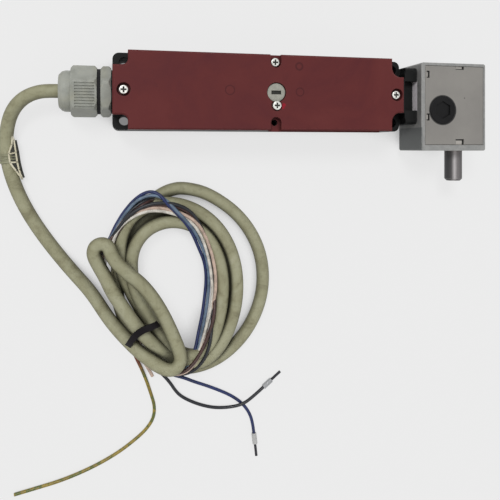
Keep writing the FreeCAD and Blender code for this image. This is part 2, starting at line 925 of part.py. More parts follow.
def crank_lever():
    """The bell crank, drawn at mid travel and turned back to rest."""
    hub = cylinder((crank_x, crank_y, lever_low), Z, crank_hub_radius, crank_thickness)
    bolt_arm = tapered_arm(crank_x, crank_y, 0, crank_arm, hub_arm_width)
    rod_arm = tapered_arm(crank_x, crank_y, 90, crank_arm, hub_arm_width)
    bore = cylinder(
        (crank_x, crank_y, lever_low - 1), Z, crank_pin_radius + running_gap, crank_thickness + 2
    )
    whole = fused(hub, bolt_arm, rod_arm).cut(bore)
    return turned_z(whole, crank_x, crank_y, -crank_angle)


def crank_pin():
    return cylinder(
        (crank_x, crank_y, head_floor), Z, crank_pin_radius, plate_bottom_z - plug_depth - free_gap - head_floor
    )


# Plunger rod and contacts


def plunger_rod():
    half_slot = tip_groove / 2
    start, end = rod_groove_x - half_slot - rod_block_wall, rod_groove_x + half_slot + rod_block_wall
    low, high = mechanism_z - rod_block_half_height, mechanism_z + rod_block_half_height
    head = block(start, end, rod_block_bottom, rod_block_top, low, high)
    slot = block(
        rod_groove_x - half_slot, rod_groove_x + half_slot,
        rod_block_bottom - 1, rod_slot_top, low - 1, high + 1,
    )
    stem = cylinder((rod_start_x, 0, mechanism_z), X, rod_radius, start - rod_start_x + 1)
    stem = stem.makeChamfer(0.6, edges_where(stem, lambda b: b.XMax < rod_start_x + 0.01))
    collar = cylinder(
        (lock_collar_x, 0, mechanism_z), X, lock_collar_radius, lock_collar_thickness
    )
    return fused(head.cut(slot), stem, collar)


def contact_places():
    """The X places of the fixed blades' near faces: closed at rest, then closed when pressed."""
    bridge_right = contact_x + contact_blade_thickness
    rest_blade = bridge_right + free_gap
    pressed_blade = contact_x - bolt_travel - free_gap - contact_blade_thickness
    return rest_blade, pressed_blade


def contact_carrier():
    size = carrier_half_size
    start = contact_x - carrier_length
    body = block(start, contact_x, -size, size, mechanism_z - size, mechanism_z + size)
    body = body.makeChamfer(0.8, edges_where(body, lambda b: b.XLength > 1))
    return body.cut(cylinder((start - 1, 0, mechanism_z), X, rod_radius + 0.01, 20))


def contact_bridge():
    plate = block(
        contact_x, contact_x + contact_blade_thickness, -bridge_half_length, bridge_half_length,
        mechanism_z - bridge_half_height, mechanism_z + bridge_half_height,
    )
    return plate.cut(cylinder((contact_x - 1, 0, mechanism_z), X, rod_radius + 0.01, 5))


def contact_block():
    start, end, side = contact_block_start, contact_block_end, contact_block_half_width
    top = mechanism_z + contact_block_rise
    body = block(start, end, -side, side, base_floor, top)
    gap = block(
        start - 1, end + 1, -contact_wall_y, contact_wall_y, base_floor + contact_block_base, top + 1
    )
    return body.cut(gap)


def fixed_contacts():
    blades = []
    low, high = mechanism_z - contact_half_height, mechanism_z + contact_half_height
    for x in contact_places():
        for side in (1, -1):
            y0, y1 = sorted((side * contact_wall_y, side * (contact_wall_y - contact_reach)))
            blades.append(block(x, x + contact_blade_thickness, y0, y1, low, high))
    return Part.makeCompound(blades)


# Solenoid and locking lever


def solenoid_yoke():
    half, low, high = yoke_half_width, yoke_low, mechanism_z + bobbin_radius - yoke_to_bobbin_top
    left = block(yoke_left, yoke_left + yoke_thickness, -half, half, low, high)
    right = block(yoke_right - yoke_thickness, yoke_right, -half, half, low, high)
    floor = block(yoke_left, yoke_right, -half, half, low, low + yoke_thickness)
    way = cylinder((coil_end_x - 1, 0, mechanism_z), X, armature_radius + free_gap, 10)
    return fused(left, right, floor).cut(way)


def solenoid_core():
    return cylinder((yoke_left + yoke_thickness, 0, mechanism_z), X, armature_radius, core_length)


def coil_bobbin():
    inner = armature_radius + free_gap
    tube = cylinder((coil_start_x, 0, mechanism_z), X, inner + bobbin_wall, coil_length)
    flanges = [
        cylinder((x, 0, mechanism_z), X, bobbin_radius, bobbin_flange)
        for x in (coil_start_x, coil_end_x - bobbin_flange)
    ]
    bore = cylinder((coil_start_x - 1, 0, mechanism_z), X, inner, coil_length + 2)
    return fused(tube, *flanges).cut(bore)


def coil_winding():
    start, length = coil_start_x + bobbin_flange, coil_length - 2 * bobbin_flange
    inner = armature_radius + free_gap + bobbin_wall
    winding = cylinder((start, 0, mechanism_z), X, coil_radius, length)
    return winding.cut(cylinder((start - 1, 0, mechanism_z), X, inner, length + 2))


def armature():
    """The solenoid's plunger, its spring collar and the groove for the locking lever."""
    start = yoke_left + yoke_thickness + core_length + armature_travel + free_gap
    thick_end = yoke_right - 0.5
    collar_x = yoke_right + armature_spring_length
    end = lock_groove_x + lock_groove / 2 + armature_collar_thickness
    thick = cylinder((start, 0, mechanism_z), X, armature_radius, thick_end - start)
    stem = cylinder((thick_end - 1, 0, mechanism_z), X, armature_stem_radius, end - thick_end + 1)
    collars = [
        cylinder((collar_x, 0, mechanism_z), X, armature_collar_radius - 0.3, spring_collar_thickness)
    ]
    for x in (
        lock_groove_x - lock_groove / 2 - armature_collar_thickness, lock_groove_x + lock_groove / 2
    ):
        collars.append(
            cylinder((x, 0, mechanism_z), X, armature_collar_radius, armature_collar_thickness)
        )
    return fused(thick, stem, *collars)


def armature_spring():
    return spring(
        (yoke_right, 0, mechanism_z), X, Y, armature_spring_radius, armature_spring_wire,
        armature_spring_turns, armature_spring_length,
    )


def locking_lever():
    """The lever, drawn with its tooth in the rod's way and turned back to rest."""
    hub = cylinder((lever_x, lever_y, lever_low), Z, lever_hub_radius, crank_thickness)
    arm = tapered_arm(lever_x, lever_y, 90 + lever_angle / 2, lever_arm, arm_width)
    half = lever_arm_width / 2
    bar = block(
        lever_x, lever_x + lever_reach + tooth_width / 2, lever_y - half, lever_y + half,
        lever_low, lever_low + crank_thickness,
    )
    tooth = block(
        lever_x + lever_reach - tooth_width / 2, lever_x + lever_reach + tooth_width / 2,
        lever_y, -rod_radius - tooth_gap, lever_low, lever_low + crank_thickness,
    )
    bore = cylinder(
        (lever_x, lever_y, lever_low - 1), Z, lever_pin_radius + running_gap, crank_thickness + 2
    )
    whole = fused(hub, arm, bar, tooth).cut(bore)
    return turned_z(whole, lever_x, lever_y, -lever_angle)


def lock_lever_pin():
    return cylinder(
        (lever_x, lever_y, base_floor), Z, lever_pin_radius, lever_low + crank_thickness + 1.5 - base_floor
    )


# Terminals


def terminal_places():
    rows = [terminal_start_x + terminal_length * share for share in (0.27, 0.73)]
    return [(x, (k - 1.5) * terminal_pitch) for x in rows for k in range(4)]


def terminal_block():
    top = base_floor + terminal_height
    half = terminal_half_width
    end = terminal_start_x + terminal_length
    body = block(terminal_start_x, end, -half, half, base_floor, top)
    step = block(terminal_start_x - 1, terminal_start_x + terminal_length / 2, -half - 1, half + 1, top - 4, top + 1)
    body = body.cut(step)
    cuts = []
    for x, y in terminal_places():
        z = top - 4 if x < terminal_start_x + terminal_length / 2 else top
        cuts.append(cylinder((x, y, z - 3), Z, terminal_screw_radius + 0.02, 10))
    return body.cut(cuts)


def terminal_screws():
    top = base_floor + terminal_height
    screws = []
    for x, y in terminal_places():
        z = top - 4 if x < terminal_start_x + terminal_length / 2 else top
        body = cylinder((x, y, z - 3), Z, terminal_screw_radius, 2.6)
        slot = block(x - 5, x + 5, y - 0.3, y + 0.3, z - 1.1, z + 1)
        screws.append(body.cut(slot))
    return Part.makeCompound(screws)


# Cable and cores


def tube(name, points, radius):
    """A cord's tube; it prints its length, its bends and its share of the expected volume."""
    solid, path, radii = swept_round([Vec(*p) for p in points], radius)
    share = solid.Volume / (math.pi * radius ** 2 * path.Length)
    print(
        name, "length %.1f" % path.Length, "radii", " ".join("%.1f" % r for r in radii),
        "volume share %.4f" % share,
    )
    return solid


cable_route = [
    (gland_exit_x(), 0, gland_z), (-113.8, 0.1, 15.9), (-119.8, -0.9, 14.7), (-125.4, -3.4, 12.6),
    (-129.9, -7.4, 10.0), (-133.1, -12.8, 7.5), (-134.9, -19.3, 5.4), (-135.6, -26.6, 4.1),
    (-135.0, -35.5, 3.65), (-132.4, -46.0, 3.7), (-127.6, -58.0, 3.62), (-120.6, -70.5, 3.7),
    (-112.0, -83.0, 3.62), (-102.2, -95.6, 3.7), (-92.0, -107.6, 3.62), (-81.6, -119.8, 3.7),
    (-72.5, -131.2, 3.62),
]

# The turns of the coil that lies on the floor: one loose loop and one closed bundle
loose_loop_route = [
    (-72.5, -131.2, 3.62), (-64.2, -141.4, 3.7), (-53.3, -148.6, 3.62), (-40.2, -150.6, 3.7),
    (-27.0, -147.2, 3.62), (-15.0, -139.4, 3.7), (-5.2, -128.4, 3.62), (0.9, -114.8, 3.7),
    (2.4, -99.8, 3.62), (-1.6, -84.8, 3.7), (-9.8, -71.8, 3.62), (-21.2, -61.8, 3.7),
    (-34.8, -55.2, 3.62), (-49.0, -52.8, 3.7), (-62.2, -55.4, 3.62), (-73.0, -63.0, 3.7),
    (-79.5, -73.5, 3.62),
]
bundle_height = 14.4
bundle_outer = [
    (-8.4, -106.0), (-12.5, -86.0), (-24.5, -70.0), (-41.0, -60.5), (-58.0, -58.5), (-73.0, -66.0),
    (-81.5, -80.0), (-83.0, -95.0), (-77.0, -111.0), (-67.5, -128.0), (-56.0, -141.0),
    (-42.0, -146.5), (-27.0, -141.0), (-14.0, -126.0),
]
bundle_inner = [
    (-22.8, -108.0), (-26.5, -93.0), (-35.0, -80.5), (-47.0, -74.8), (-59.0, -77.5), (-66.0, -87.0),
    (-67.0, -99.0), (-61.5, -112.0), (-53.0, -125.0), (-43.5, -136.5), (-34.0, -138.0),
    (-26.0, -127.0),
]
bundle_edge = 3.0

# The long narrow loop that lies on top of the bundle's left side
narrow_loop_low = 14.8
narrow_loop_height = 7.2
narrow_loop_outline = [
    (-90.0, -76.5), (-83.5, -77.0), (-75.5, -85.0), (-66.5, -93.5), (-57.5, -105.5), (-50.0, -119.5),
    (-44.0, -134.0), (-45.5, -145.5), (-54.5, -148.0), (-64.0, -139.0), (-73.5, -122.0),
    (-82.0, -108.0), (-89.0, -96.0), (-93.5, -84.0),
]
narrow_loop_opening = [
    (-82.0, -91.5), (-75.5, -97.5), (-69.5, -104.5), (-63.5, -113.0), (-59.0, -122.0),
    (-55.3, -132.0), (-54.5, -136.0), (-58.2, -133.0), (-63.3, -125.5), (-68.4, -116.5),
    (-74.8, -106.5), (-79.6, -98.0),
]
narrow_loop_edge = 2.0

core_radius = 0.9
hank_radius = 2.6
core_hank_route = [
    (-79.4, -76.5, 17.4), (-75.6, -67.6, 17.3), (-68.8, -60.4, 17.4), (-60.0, -56.6, 17.3),
    (-50.5, -57.4, 17.4), (-42.3, -62.6, 17.3), (-35.8, -71.2, 17.4), (-31.0, -82.2, 17.3),
    (-28.6, -94.6, 17.0), (-28.0, -107.4, 16.5), (-29.4, -119.6, 16.7), (-33.0, -131.0, 17.3),
    (-38.4, -141.6, 17.4), (-43.6, -151.4, 17.3),
]
core_blue_route = [
    (-42.5, -152.5, 16.7), (-42.0, -155.7, 14.7), (-41.0, -158.5, 11.5), (-38.5, -160.8, 7.5),
    (-34.5, -162.4, 4.0), (-29.0, -164.6, 1.6), (-22.5, -167.4, 0.98), (-15.4, -171.0, 0.95),
    (-9.2, -175.4, 0.98), (-4.6, -181.0, 0.95), (-2.0, -187.4, 0.98), (-1.3, -194.2, 1.3),
]
core_black_route = [
    (-43.84, -151.85, 18.9), (-46.1, -154.3, 15.6), (-48.3, -156.6, 12.0), (-49.6, -159.4, 8.6),
    (-49.2, -162.6, 5.4), (-47.2, -165.8, 2.9), (-43.8, -168.9, 1.3), (-38.8, -172.2, 0.95),
    (-32.4, -175.2, 0.98), (-24.6, -177.6, 0.95), (-16.4, -178.0, 1.4), (-8.4, -176.2, 3.5),
    (-1.2, -172.2, 2.2), (4.4, -168.0, 1.5),
]
core_green_yellow_route = [
    (-72.6, -139.8, 1.0), (-68.8, -145.6, 0.97), (-65.4, -151.8, 0.95), (-62.6, -158.8, 0.97),
    (-60.2, -166.2, 0.95), (-58.0, -173.4, 0.97), (-58.6, -180.2, 0.95), (-62.8, -186.2, 0.97),
    (-69.2, -191.4, 0.95), (-77.2, -196.8, 0.97), (-87.0, -201.8, 0.95), (-97.8, -206.0, 0.97),
    (-109.2, -209.4, 0.95), (-120.6, -211.6, 0.97), (-132.0, -213.8, 0.95),
]
core_tails_route = [
    (-45.3, -151.3, 16.7), (-48.6, -153.0, 14.6), (-53.0, -154.0, 10.8), (-58.0, -153.6, 6.8),
    (-62.8, -151.2, 3.8), (-67.0, -147.2, 2.9), (-70.6, -142.9, 3.0),
]


def smooth_face(points, z):
    """A flat face inside a closed outline of runs and tangent arcs."""
    edges, _ = tangent_edges([Vec(x, y, z) for x, y in points], closed=True)
    return Part.Face(Part.Wire(edges))


def soft_slab(outline, opening, z, height, edge):
    """A slab with a smooth outline and opening, its outer edges taken off."""
    slab = smooth_face(outline, z).extrude(Z * height)
    top_and_bottom = edges_where(slab, lambda b: b.ZLength < 1e-3)
    slab = slab.makeChamfer(edge, top_and_bottom)
    return slab.cut(smooth_face(opening, z - 1).extrude(Z * (height + 2)))


def cable_coil():
    bundle = soft_slab(bundle_outer, bundle_inner, 0, bundle_height, bundle_edge)
    return bundle.fuse(tube("cable_coil", loose_loop_route, cable_radius))


def cable_narrow_loop():
    return soft_slab(
        narrow_loop_outline, narrow_loop_opening, narrow_loop_low, narrow_loop_height,
        narrow_loop_edge,
    )


# What is on the cable and the cores

tie_foot = (-73.0, -138.0)
tie_head = (-57.0, -121.0)
tie_width = 3.0
tie_profile = [
    (-1.0, 0.6), (-1.0, 6.0), (4.2, 20.2), (6.6, 23.8), (17.0, 23.8), (18.9, 20.8), (17.8, 20.1),
    (16.3, 22.4), (7.4, 22.4), (5.5, 19.6), (0.3, 5.4), (0.3, 0.6),
]


def cable_tie():
    """The black band over the strands, from the floor on one side to the narrow loop's opening."""
    along = Vec(tie_head[0] - tie_foot[0], tie_head[1] - tie_foot[1], 0)
    along.normalize()
    across = Z.cross(along)
    start = Vec(tie_foot[0], tie_foot[1], 0) - across * (tie_width / 2)
    points = [start + along * s + Z * z for s, z in tie_profile]
    return Part.Face(Part.makePolygon(points + points[:1])).extrude(across * tie_width)


ferrule_sleeve_length = 6.0
ferrule_sleeve_radius = 1.4
ferrule_pin_length = 7.0
ferrule_pin_radius = 0.75


def ferrule(route):
    """A crimped ferrule on the end of a core: a sleeve, then a bare metal pin."""
    before, place = Vec(*route[-2]), Vec(*route[-1])
    direction = place - before
    direction.normalize()
    sleeve = Part.makeCylinder(ferrule_sleeve_radius, ferrule_sleeve_length, place, direction)
    pin = Part.makeCylinder(
        ferrule_pin_radius, ferrule_sleeve_length + ferrule_pin_length, place, direction
    )
    return fused(sleeve, pin)


marker_place = (-134.2, -38.6, 3.66)
marker_heading = (2.6, -10.5, 0.0)
marker_length = 6.0
marker_wall = 1.1
fin_outline = [(-130.6, -24.0), (-128.8, -30.5), (-127.6, -37.5), (-126.4, -45.5), (-129.8, -42.0), (-130.4, -33.0)]
fin_low = 3.4
fin_thickness = 1.0


def cable_marker():
    """The clip-on marker: a ring round the cable with a thin fin beside it."""
    direction = Vec(*marker_heading)
    direction.normalize()
    place = Vec(*marker_place) - direction * (marker_length / 2)
    ring = Part.makeCylinder(cable_radius + marker_wall, marker_length, place, direction)
    bore = Part.makeCylinder(cable_radius + 0.3, marker_length + 40, place - direction * 20, direction)
    fin = polygon_face(fin_outline, fin_low).extrude(Z * fin_thickness)
    floor_cut = block(-160, -100, -80, 0, -10, 0)
    return fused(ring, fin).cut([bore, floor_cut])


def parts():
    """Every sub-part's name and shape."""
    return {
        "base_housing": base_housing(),
        "cover": cover(),
        "cover_gasket": cover_gasket(),
        "cover_screws": cover_screws(),
        "release_disc": release_disc(),
        "release_seal": release_seal(),
        "release_lock_screw": release_lock_screw(),
        "gland_body": gland_body(),
        "gland_seal": gland_seal(),
        "gland_nut": gland_nut(),
        "gland_insert": gland_insert(),
        "cable_tail": cable_tail(),
        "head_casing": head_casing(),
        "head_front_plate": head_front_plate(),
        "head_plug": head_plug(),
        "head_gasket": head_gasket(),
        "head_screws": head_screws(),
        "bolt_guide_bush": bolt_guide_bush(),
        "actuator_bolt": actuator_bolt(),
        "bolt_spring": bolt_spring(),
        "crank_lever": crank_lever(),
        "crank_pin": crank_pin(),
        "plunger_rod": plunger_rod(),
        "contact_carrier": contact_carrier(),
        "contact_bridge": contact_bridge(),
        "contact_block": contact_block(),
        "fixed_contacts": fixed_contacts(),
        "solenoid_yoke": solenoid_yoke(),
        "solenoid_core": solenoid_core(),
        "coil_bobbin": coil_bobbin(),
        "coil_winding": coil_winding(),
        "armature": armature(),
        "armature_spring": armature_spring(),
        "locking_lever": locking_lever(),
        "lock_lever_pin": lock_lever_pin(),
        "terminal_block": terminal_block(),
        "terminal_screws": terminal_screws(),
        "cable": tube("cable", cable_route, cable_radius),
        "cable_coil": cable_coil(),
        "cable_narrow_loop": cable_narrow_loop(),
        "core_hank": tube("core_hank", core_hank_route, hank_radius),
        "core_tails": tube("core_tails", core_tails_route, core_radius),
        "core_blue": tube("core_blue", core_blue_route, core_radius),
        "core_black": tube("core_black", core_black_route, core_radius),
        "core_green_yellow": tube("core_green_yellow", core_green_yellow_route, core_radius),
        "ferrule_blue": ferrule(core_blue_route),
        "ferrule_black": ferrule(core_black_route),
        "cable_tie": cable_tie(),
        "cable_marker": cable_marker(),
    }


os.makedirs("parts", exist_ok=True)
for name, shape in parts().items():
    shape.exportStep("parts/" + name + ".step")
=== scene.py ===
import json
import math

import bmesh
import bpy
from mathutils import Matrix, Vector


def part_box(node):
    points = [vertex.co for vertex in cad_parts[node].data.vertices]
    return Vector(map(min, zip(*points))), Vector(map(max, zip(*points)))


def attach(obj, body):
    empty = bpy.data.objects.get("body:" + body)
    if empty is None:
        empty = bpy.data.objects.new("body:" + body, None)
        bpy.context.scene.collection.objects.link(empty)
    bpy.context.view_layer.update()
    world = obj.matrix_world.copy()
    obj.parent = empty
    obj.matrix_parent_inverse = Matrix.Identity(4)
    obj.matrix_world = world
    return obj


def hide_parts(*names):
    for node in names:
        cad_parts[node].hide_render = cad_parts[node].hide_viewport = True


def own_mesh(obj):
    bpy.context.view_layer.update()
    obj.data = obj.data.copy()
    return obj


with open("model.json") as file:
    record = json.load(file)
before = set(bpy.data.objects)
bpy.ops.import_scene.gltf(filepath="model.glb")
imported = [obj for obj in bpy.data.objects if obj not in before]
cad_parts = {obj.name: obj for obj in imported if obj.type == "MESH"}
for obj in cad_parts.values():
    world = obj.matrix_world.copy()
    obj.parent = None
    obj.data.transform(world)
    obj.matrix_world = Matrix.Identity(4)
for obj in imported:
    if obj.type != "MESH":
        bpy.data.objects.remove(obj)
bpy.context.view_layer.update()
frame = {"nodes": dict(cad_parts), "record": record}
nodes = frame["nodes"]
mm = 0.001


def linear(value):
    """A channel from 0 to 255 as linear light."""
    share = value / 255
    return share / 12.92 if share <= 0.04045 else ((share + 0.055) / 1.055) ** 2.4


def rgb(red, green, blue):
    return (linear(red), linear(green), linear(blue), 1.0)


# Camera, floor and lights

camera_place = (-0.0797, -0.0294, 0.3419)
camera_turn_y = -12.6
camera_lens = 43.5
camera_shift_y = -0.204
background_grey = 236
floor_half = 3.0
floor_low = -0.0002
floor_shadow_share = 0.12
floor_hole_reach = 24.0
world_strength = 0.42
# Each sun: its name, the direction in which it shines, its strength and its spread in degrees
suns = [
    ("key", (0.35, -0.45, -1.0), 1.62, 18.0),
    ("fill", (-0.6, 0.5, -1.0), 0.4, 60.0),
]


def add_camera():
    data = bpy.data.cameras.new("camera")
    data.lens = camera_lens
    data.sensor_width = 36.0
    data.shift_y = camera_shift_y
    data.clip_start = 0.01
    camera = bpy.data.objects.new("camera", data)
    camera.location = camera_place
    camera.rotation_euler = (0.0, math.radians(camera_turn_y), 0.0)
    bpy.context.scene.collection.objects.link(camera)
    bpy.context.scene.camera = camera


class Nodes:
    """A material's node tree, with short calls for the nodes that the materials use."""

    def __init__(self, name):
        self.material = bpy.data.materials.new(name)
        self.material.use_nodes = True
        self.tree = self.material.node_tree
        self.shader = self.tree.nodes["Principled BSDF"]
        self.output = self.tree.nodes["Material Output"]
        self.place = self.add("ShaderNodeTexCoord").outputs["Object"]

    def add(self, kind, **settings):
        node = self.tree.nodes.new(kind)
        for key, value in settings.items():
            setattr(node, key, value)
        return node

    def link(self, source, target):
        self.tree.links.new(source, target)

    def put(self, value, target):
        """Links a socket, or sets a plain value."""
        if isinstance(value, bpy.types.NodeSocket):
            self.link(value, target)
        else:
            target.default_value = value

    def stretched(self, x, y, z):
        """Object coordinates scaled along each axis."""
        node = self.add("ShaderNodeMapping")
        self.link(self.place, node.inputs["Vector"])
        node.inputs["Scale"].default_value = (x, y, z)
        return node.outputs["Vector"]

    def noise(self, size, detail=3.0, rough=0.5, vector=None, distortion=0.0):
        """Noise whose largest features are about size millimetres."""
        node = self.add("ShaderNodeTexNoise")
        self.link(vector or self.place, node.inputs["Vector"])
        node.inputs["Scale"].default_value = 1.0 / (size * mm)
        node.inputs["Detail"].default_value = detail
        node.inputs["Roughness"].default_value = rough
        node.inputs["Distortion"].default_value = distortion
        return node.outputs["Fac"]

    def cells(self, size):
        """Distance from scattered spots that are about size millimetres apart."""
        node = self.add("ShaderNodeTexVoronoi")
        self.link(self.place, node.inputs["Vector"])
        node.inputs["Scale"].default_value = 1.0 / (size * mm)
        return node.outputs["Distance"]

    def ramp(self, source, stops):
        """Colours or greys along a value."""
        node = self.add("ShaderNodeValToRGB")
        self.link(source, node.inputs["Fac"])
        elements = node.color_ramp.elements
        while len(elements) < len(stops):
            elements.new(0.5)
        for element, (position, colour) in zip(elements, stops):
            element.position = position
            grey = isinstance(colour, (int, float))
            element.color = (colour, colour, colour, 1.0) if grey else colour
        return node.outputs["Color"]

    def mix(self, share, first, second):
        node = self.add("ShaderNodeMix", data_type="RGBA")
        self.put(share, node.inputs[0])
        self.put(first, node.inputs[6])
        self.put(second, node.inputs[7])
        return node.outputs[2]

    def math(self, operation, first, second=0.0):
        node = self.add("ShaderNodeMath", operation=operation)
        self.put(first, node.inputs[0])
        self.put(second, node.inputs[1])
        return node.outputs[0]

    def rounded(self, radius):
        """A normal whose edges are rounded by a radius in millimetres."""
        node = self.add("ShaderNodeBevel", samples=4)
        node.inputs["Radius"].default_value = radius * mm
        return node.outputs["Normal"]

    def edges(self, radius):
        """A mask that is 1 at edges within a radius in millimetres."""
        geometry = self.add("ShaderNodeNewGeometry")
        dot = self.add("ShaderNodeVectorMath", operation="DOT_PRODUCT")
        self.link(self.rounded(radius), dot.inputs[0])
        self.link(geometry.outputs["Normal"], dot.inputs[1])
        return self.ramp(dot.outputs["Value"], [(0.80, 1.0), (0.985, 0.0)])

    def bump(self, height, strength, depth, normal=None):
        node = self.add("ShaderNodeBump")
        self.link(height, node.inputs["Height"])
        node.inputs["Strength"].default_value = strength
        node.inputs["Distance"].default_value = depth * mm
        if normal:
            self.link(normal, node.inputs["Normal"])
        return node.outputs["Normal"]

    def finish(self, colour, roughness, normal=None, metallic=0.0, specular=None):
        self.put(colour, self.shader.inputs["Base Color"])
        self.put(roughness, self.shader.inputs["Roughness"])
        self.put(metallic, self.shader.inputs["Metallic"])
        if normal:
            self.link(normal, self.shader.inputs["Normal"])
        if specular is not None:
            self.shader.inputs["Specular IOR Level"].default_value = specular
        return self.material


def floor_material():
    """Shaded enough to hold the shadows, and otherwise the plain background."""
    n = Nodes("floor_pale")
    tone = linear(background_grey)
    glow = n.add("ShaderNodeEmission")
    # Painted shade: only what is nearly closed in, such as the ends of the mounting holes, is darker
    hole_shade = n.add("ShaderNodeAmbientOcclusion", samples=12)
    hole_shade.inputs["Distance"].default_value = floor_hole_reach * mm
    n.link(n.ramp(hole_shade.outputs["AO"], [(0.05, tone * 0.30), (0.5, tone)]), glow.inputs["Color"])
    rays = n.add("ShaderNodeLightPath")
    seen = n.math("MAXIMUM", rays.outputs["Is Camera Ray"], rays.outputs["Is Glossy Ray"])
    seen = n.math("MAXIMUM", seen, rays.outputs["Is Transmission Ray"])
    share = n.math("MULTIPLY", seen, 1.0 - floor_shadow_share)
    blend = n.add("ShaderNodeMixShader")
    n.link(share, blend.inputs[0])
    n.link(n.shader.outputs[0], blend.inputs[1])
    n.link(glow.outputs[0], blend.inputs[2])
    n.link(blend.outputs[0], n.output.inputs["Surface"])
    grain = n.ramp(n.noise(9.0, 4.0), [(0.3, tone * 0.985), (0.7, tone)])
    return n.finish(grain, 0.9, specular=0.0)


def add_floor():
    mesh = bpy.data.meshes.new("floor")
    corners = [
        (x * floor_half, y * floor_half, floor_low) for x, y in ((-1, -1), (1, -1), (1, 1), (-1, 1))
    ]
    mesh.from_pydata(corners, [], [(0, 1, 2, 3)])
    floor = bpy.data.objects.new("floor", mesh)
    bpy.context.scene.collection.objects.link(floor)
    floor.data.materials.append(floor_material())


def add_world():
    """Soft even light, and the plain background behind the floor."""
    world = bpy.data.worlds.new("studio")
    bpy.context.scene.world = world
    world.use_nodes = True
    tree = world.node_tree
    light = tree.nodes["Background"]
    light.inputs["Color"].default_value = (1.0, 1.0, 1.0, 1.0)
    light.inputs["Strength"].default_value = world_strength
    tone = linear(background_grey)
    plain = tree.nodes.new("ShaderNodeBackground")
    plain.inputs["Color"].default_value = (tone, tone, tone, 1.0)
    rays = tree.nodes.new("ShaderNodeLightPath")
    seen = tree.nodes.new("ShaderNodeMath")
    seen.operation = "MAXIMUM"
    bounced = tree.nodes.new("ShaderNodeMath")
    bounced.operation = "MAXIMUM"
    tree.links.new(rays.outputs["Is Glossy Ray"], bounced.inputs[0])
    tree.links.new(rays.outputs["Is Transmission Ray"], bounced.inputs[1])
    tree.links.new(rays.outputs["Is Camera Ray"], seen.inputs[0])
    tree.links.new(bounced.outputs[0], seen.inputs[1])
    blend = tree.nodes.new("ShaderNodeMixShader")
    tree.links.new(seen.outputs[0], blend.inputs[0])
    tree.links.new(light.outputs[0], blend.inputs[1])
    tree.links.new(plain.outputs[0], blend.inputs[2])
    tree.links.new(blend.outputs[0], tree.nodes["World Output"].inputs["Surface"])


def add_sun(name, towards, strength, spread):
    """A soft sun that shines along a direction."""
    data = bpy.data.lights.new(name, "SUN")
    data.energy = strength
    data.angle = math.radians(spread)
    sun = bpy.data.objects.new(name, data)
    sun.rotation_euler = Vector(towards).to_track_quat("-Z", "Y").to_euler()
    bpy.context.scene.collection.objects.link(sun)


bpy.context.scene.view_settings.view_transform = "Standard"
add_camera()
add_floor()
add_world()
for sun in suns:
    add_sun(*sun)


# Materials


def shaded(n, colour, reach, floor=0.25):
    """The colour with painted shade: darkened in grooves and recesses that are about reach millimetres
    deep.
    """
    node = n.add("ShaderNodeAmbientOcclusion", samples=8, only_local=True)
    node.inputs["Distance"].default_value = reach * mm
    depth = n.ramp(node.outputs["AO"], [(0.35, floor), (0.85, 1.0)])
    mixer = n.add("ShaderNodeMix", data_type="RGBA", blend_type="MULTIPLY")
    mixer.inputs[0].default_value = 1.0
    n.put(colour, mixer.inputs[6])
    n.link(depth, mixer.inputs[7])
    return mixer.outputs[2]


def coordinate(n, axis):
    """One object coordinate, in metres."""
    node = n.add("ShaderNodeSeparateXYZ")
    n.link(n.place, node.inputs[0])
    return node.outputs[axis]


def above(n, value, edge, soft=0.0002):
    """0 below the edge and 1 above it."""
    node = n.add("ShaderNodeMapRange", clamp=True)
    n.put(value, node.inputs["Value"])
    node.inputs["From Min"].default_value = edge - soft
    node.inputs["From Max"].default_value = edge + soft
    return node.outputs["Result"]


def ring_mark(n, x, y, radius, width):
    """A thin ring around an upright line, 1 on the ring and 0 elsewhere."""
    across = n.math("SUBTRACT", coordinate(n, "X"), x * mm)
    along = n.math("SUBTRACT", coordinate(n, "Y"), y * mm)
    square = n.math("ADD", n.math("MULTIPLY", across, across), n.math("MULTIPLY", along, along))
    distance = n.math("SQRT", square)
    off = n.math("ABSOLUTE", n.math("SUBTRACT", distance, radius * mm))
    return n.math("SUBTRACT", 1.0, above(n, off, width * mm, 0.0002))


def patch_mark(n, x_low, x_high, y_low, y_high):
    """1 inside an upright rectangle given in millimetres, and 0 outside it."""
    x, y = coordinate(n, "X"), coordinate(n, "Y")
    across = n.math("SUBTRACT", above(n, x, x_low * mm, 0.0001), above(n, x, x_high * mm, 0.0001))
    along = n.math("SUBTRACT", above(n, y, y_low * mm, 0.0001), above(n, y, y_high * mm, 0.0001))
    return n.math("MULTIPLY", across, along)


def together(n, marks):
    """The marks as one."""
    whole = marks[0]
    for mark in marks[1:]:
        whole = n.math("MAXIMUM", whole, mark)
    return whole


def moulded_black(name, tone=(16, 17, 17), worn=(52, 52, 50), grain=0.35):
    """Black moulded plastic: fine grain, grey handled patches and paler edges."""
    n = Nodes(name)
    patches = n.noise(14.0, 4.0, 0.6)
    base = n.ramp(patches, [(0.35, rgb(*tone)), (0.72, rgb(*[c + 10 for c in tone]))])
    rubbed = n.math("MULTIPLY", n.edges(0.35), n.ramp(n.noise(2.5, 4.0), [(0.4, 0.0), (0.65, 0.7)]))
    colour = n.mix(rubbed, base, rgb(*worn))
    rough = n.ramp(patches, [(0.3, 0.42), (0.7, 0.6)])
    normal = n.bump(n.noise(grain, 2.0), 0.35, 0.06, n.rounded(0.3))
    return n.finish(colour, rough, normal, specular=0.14)


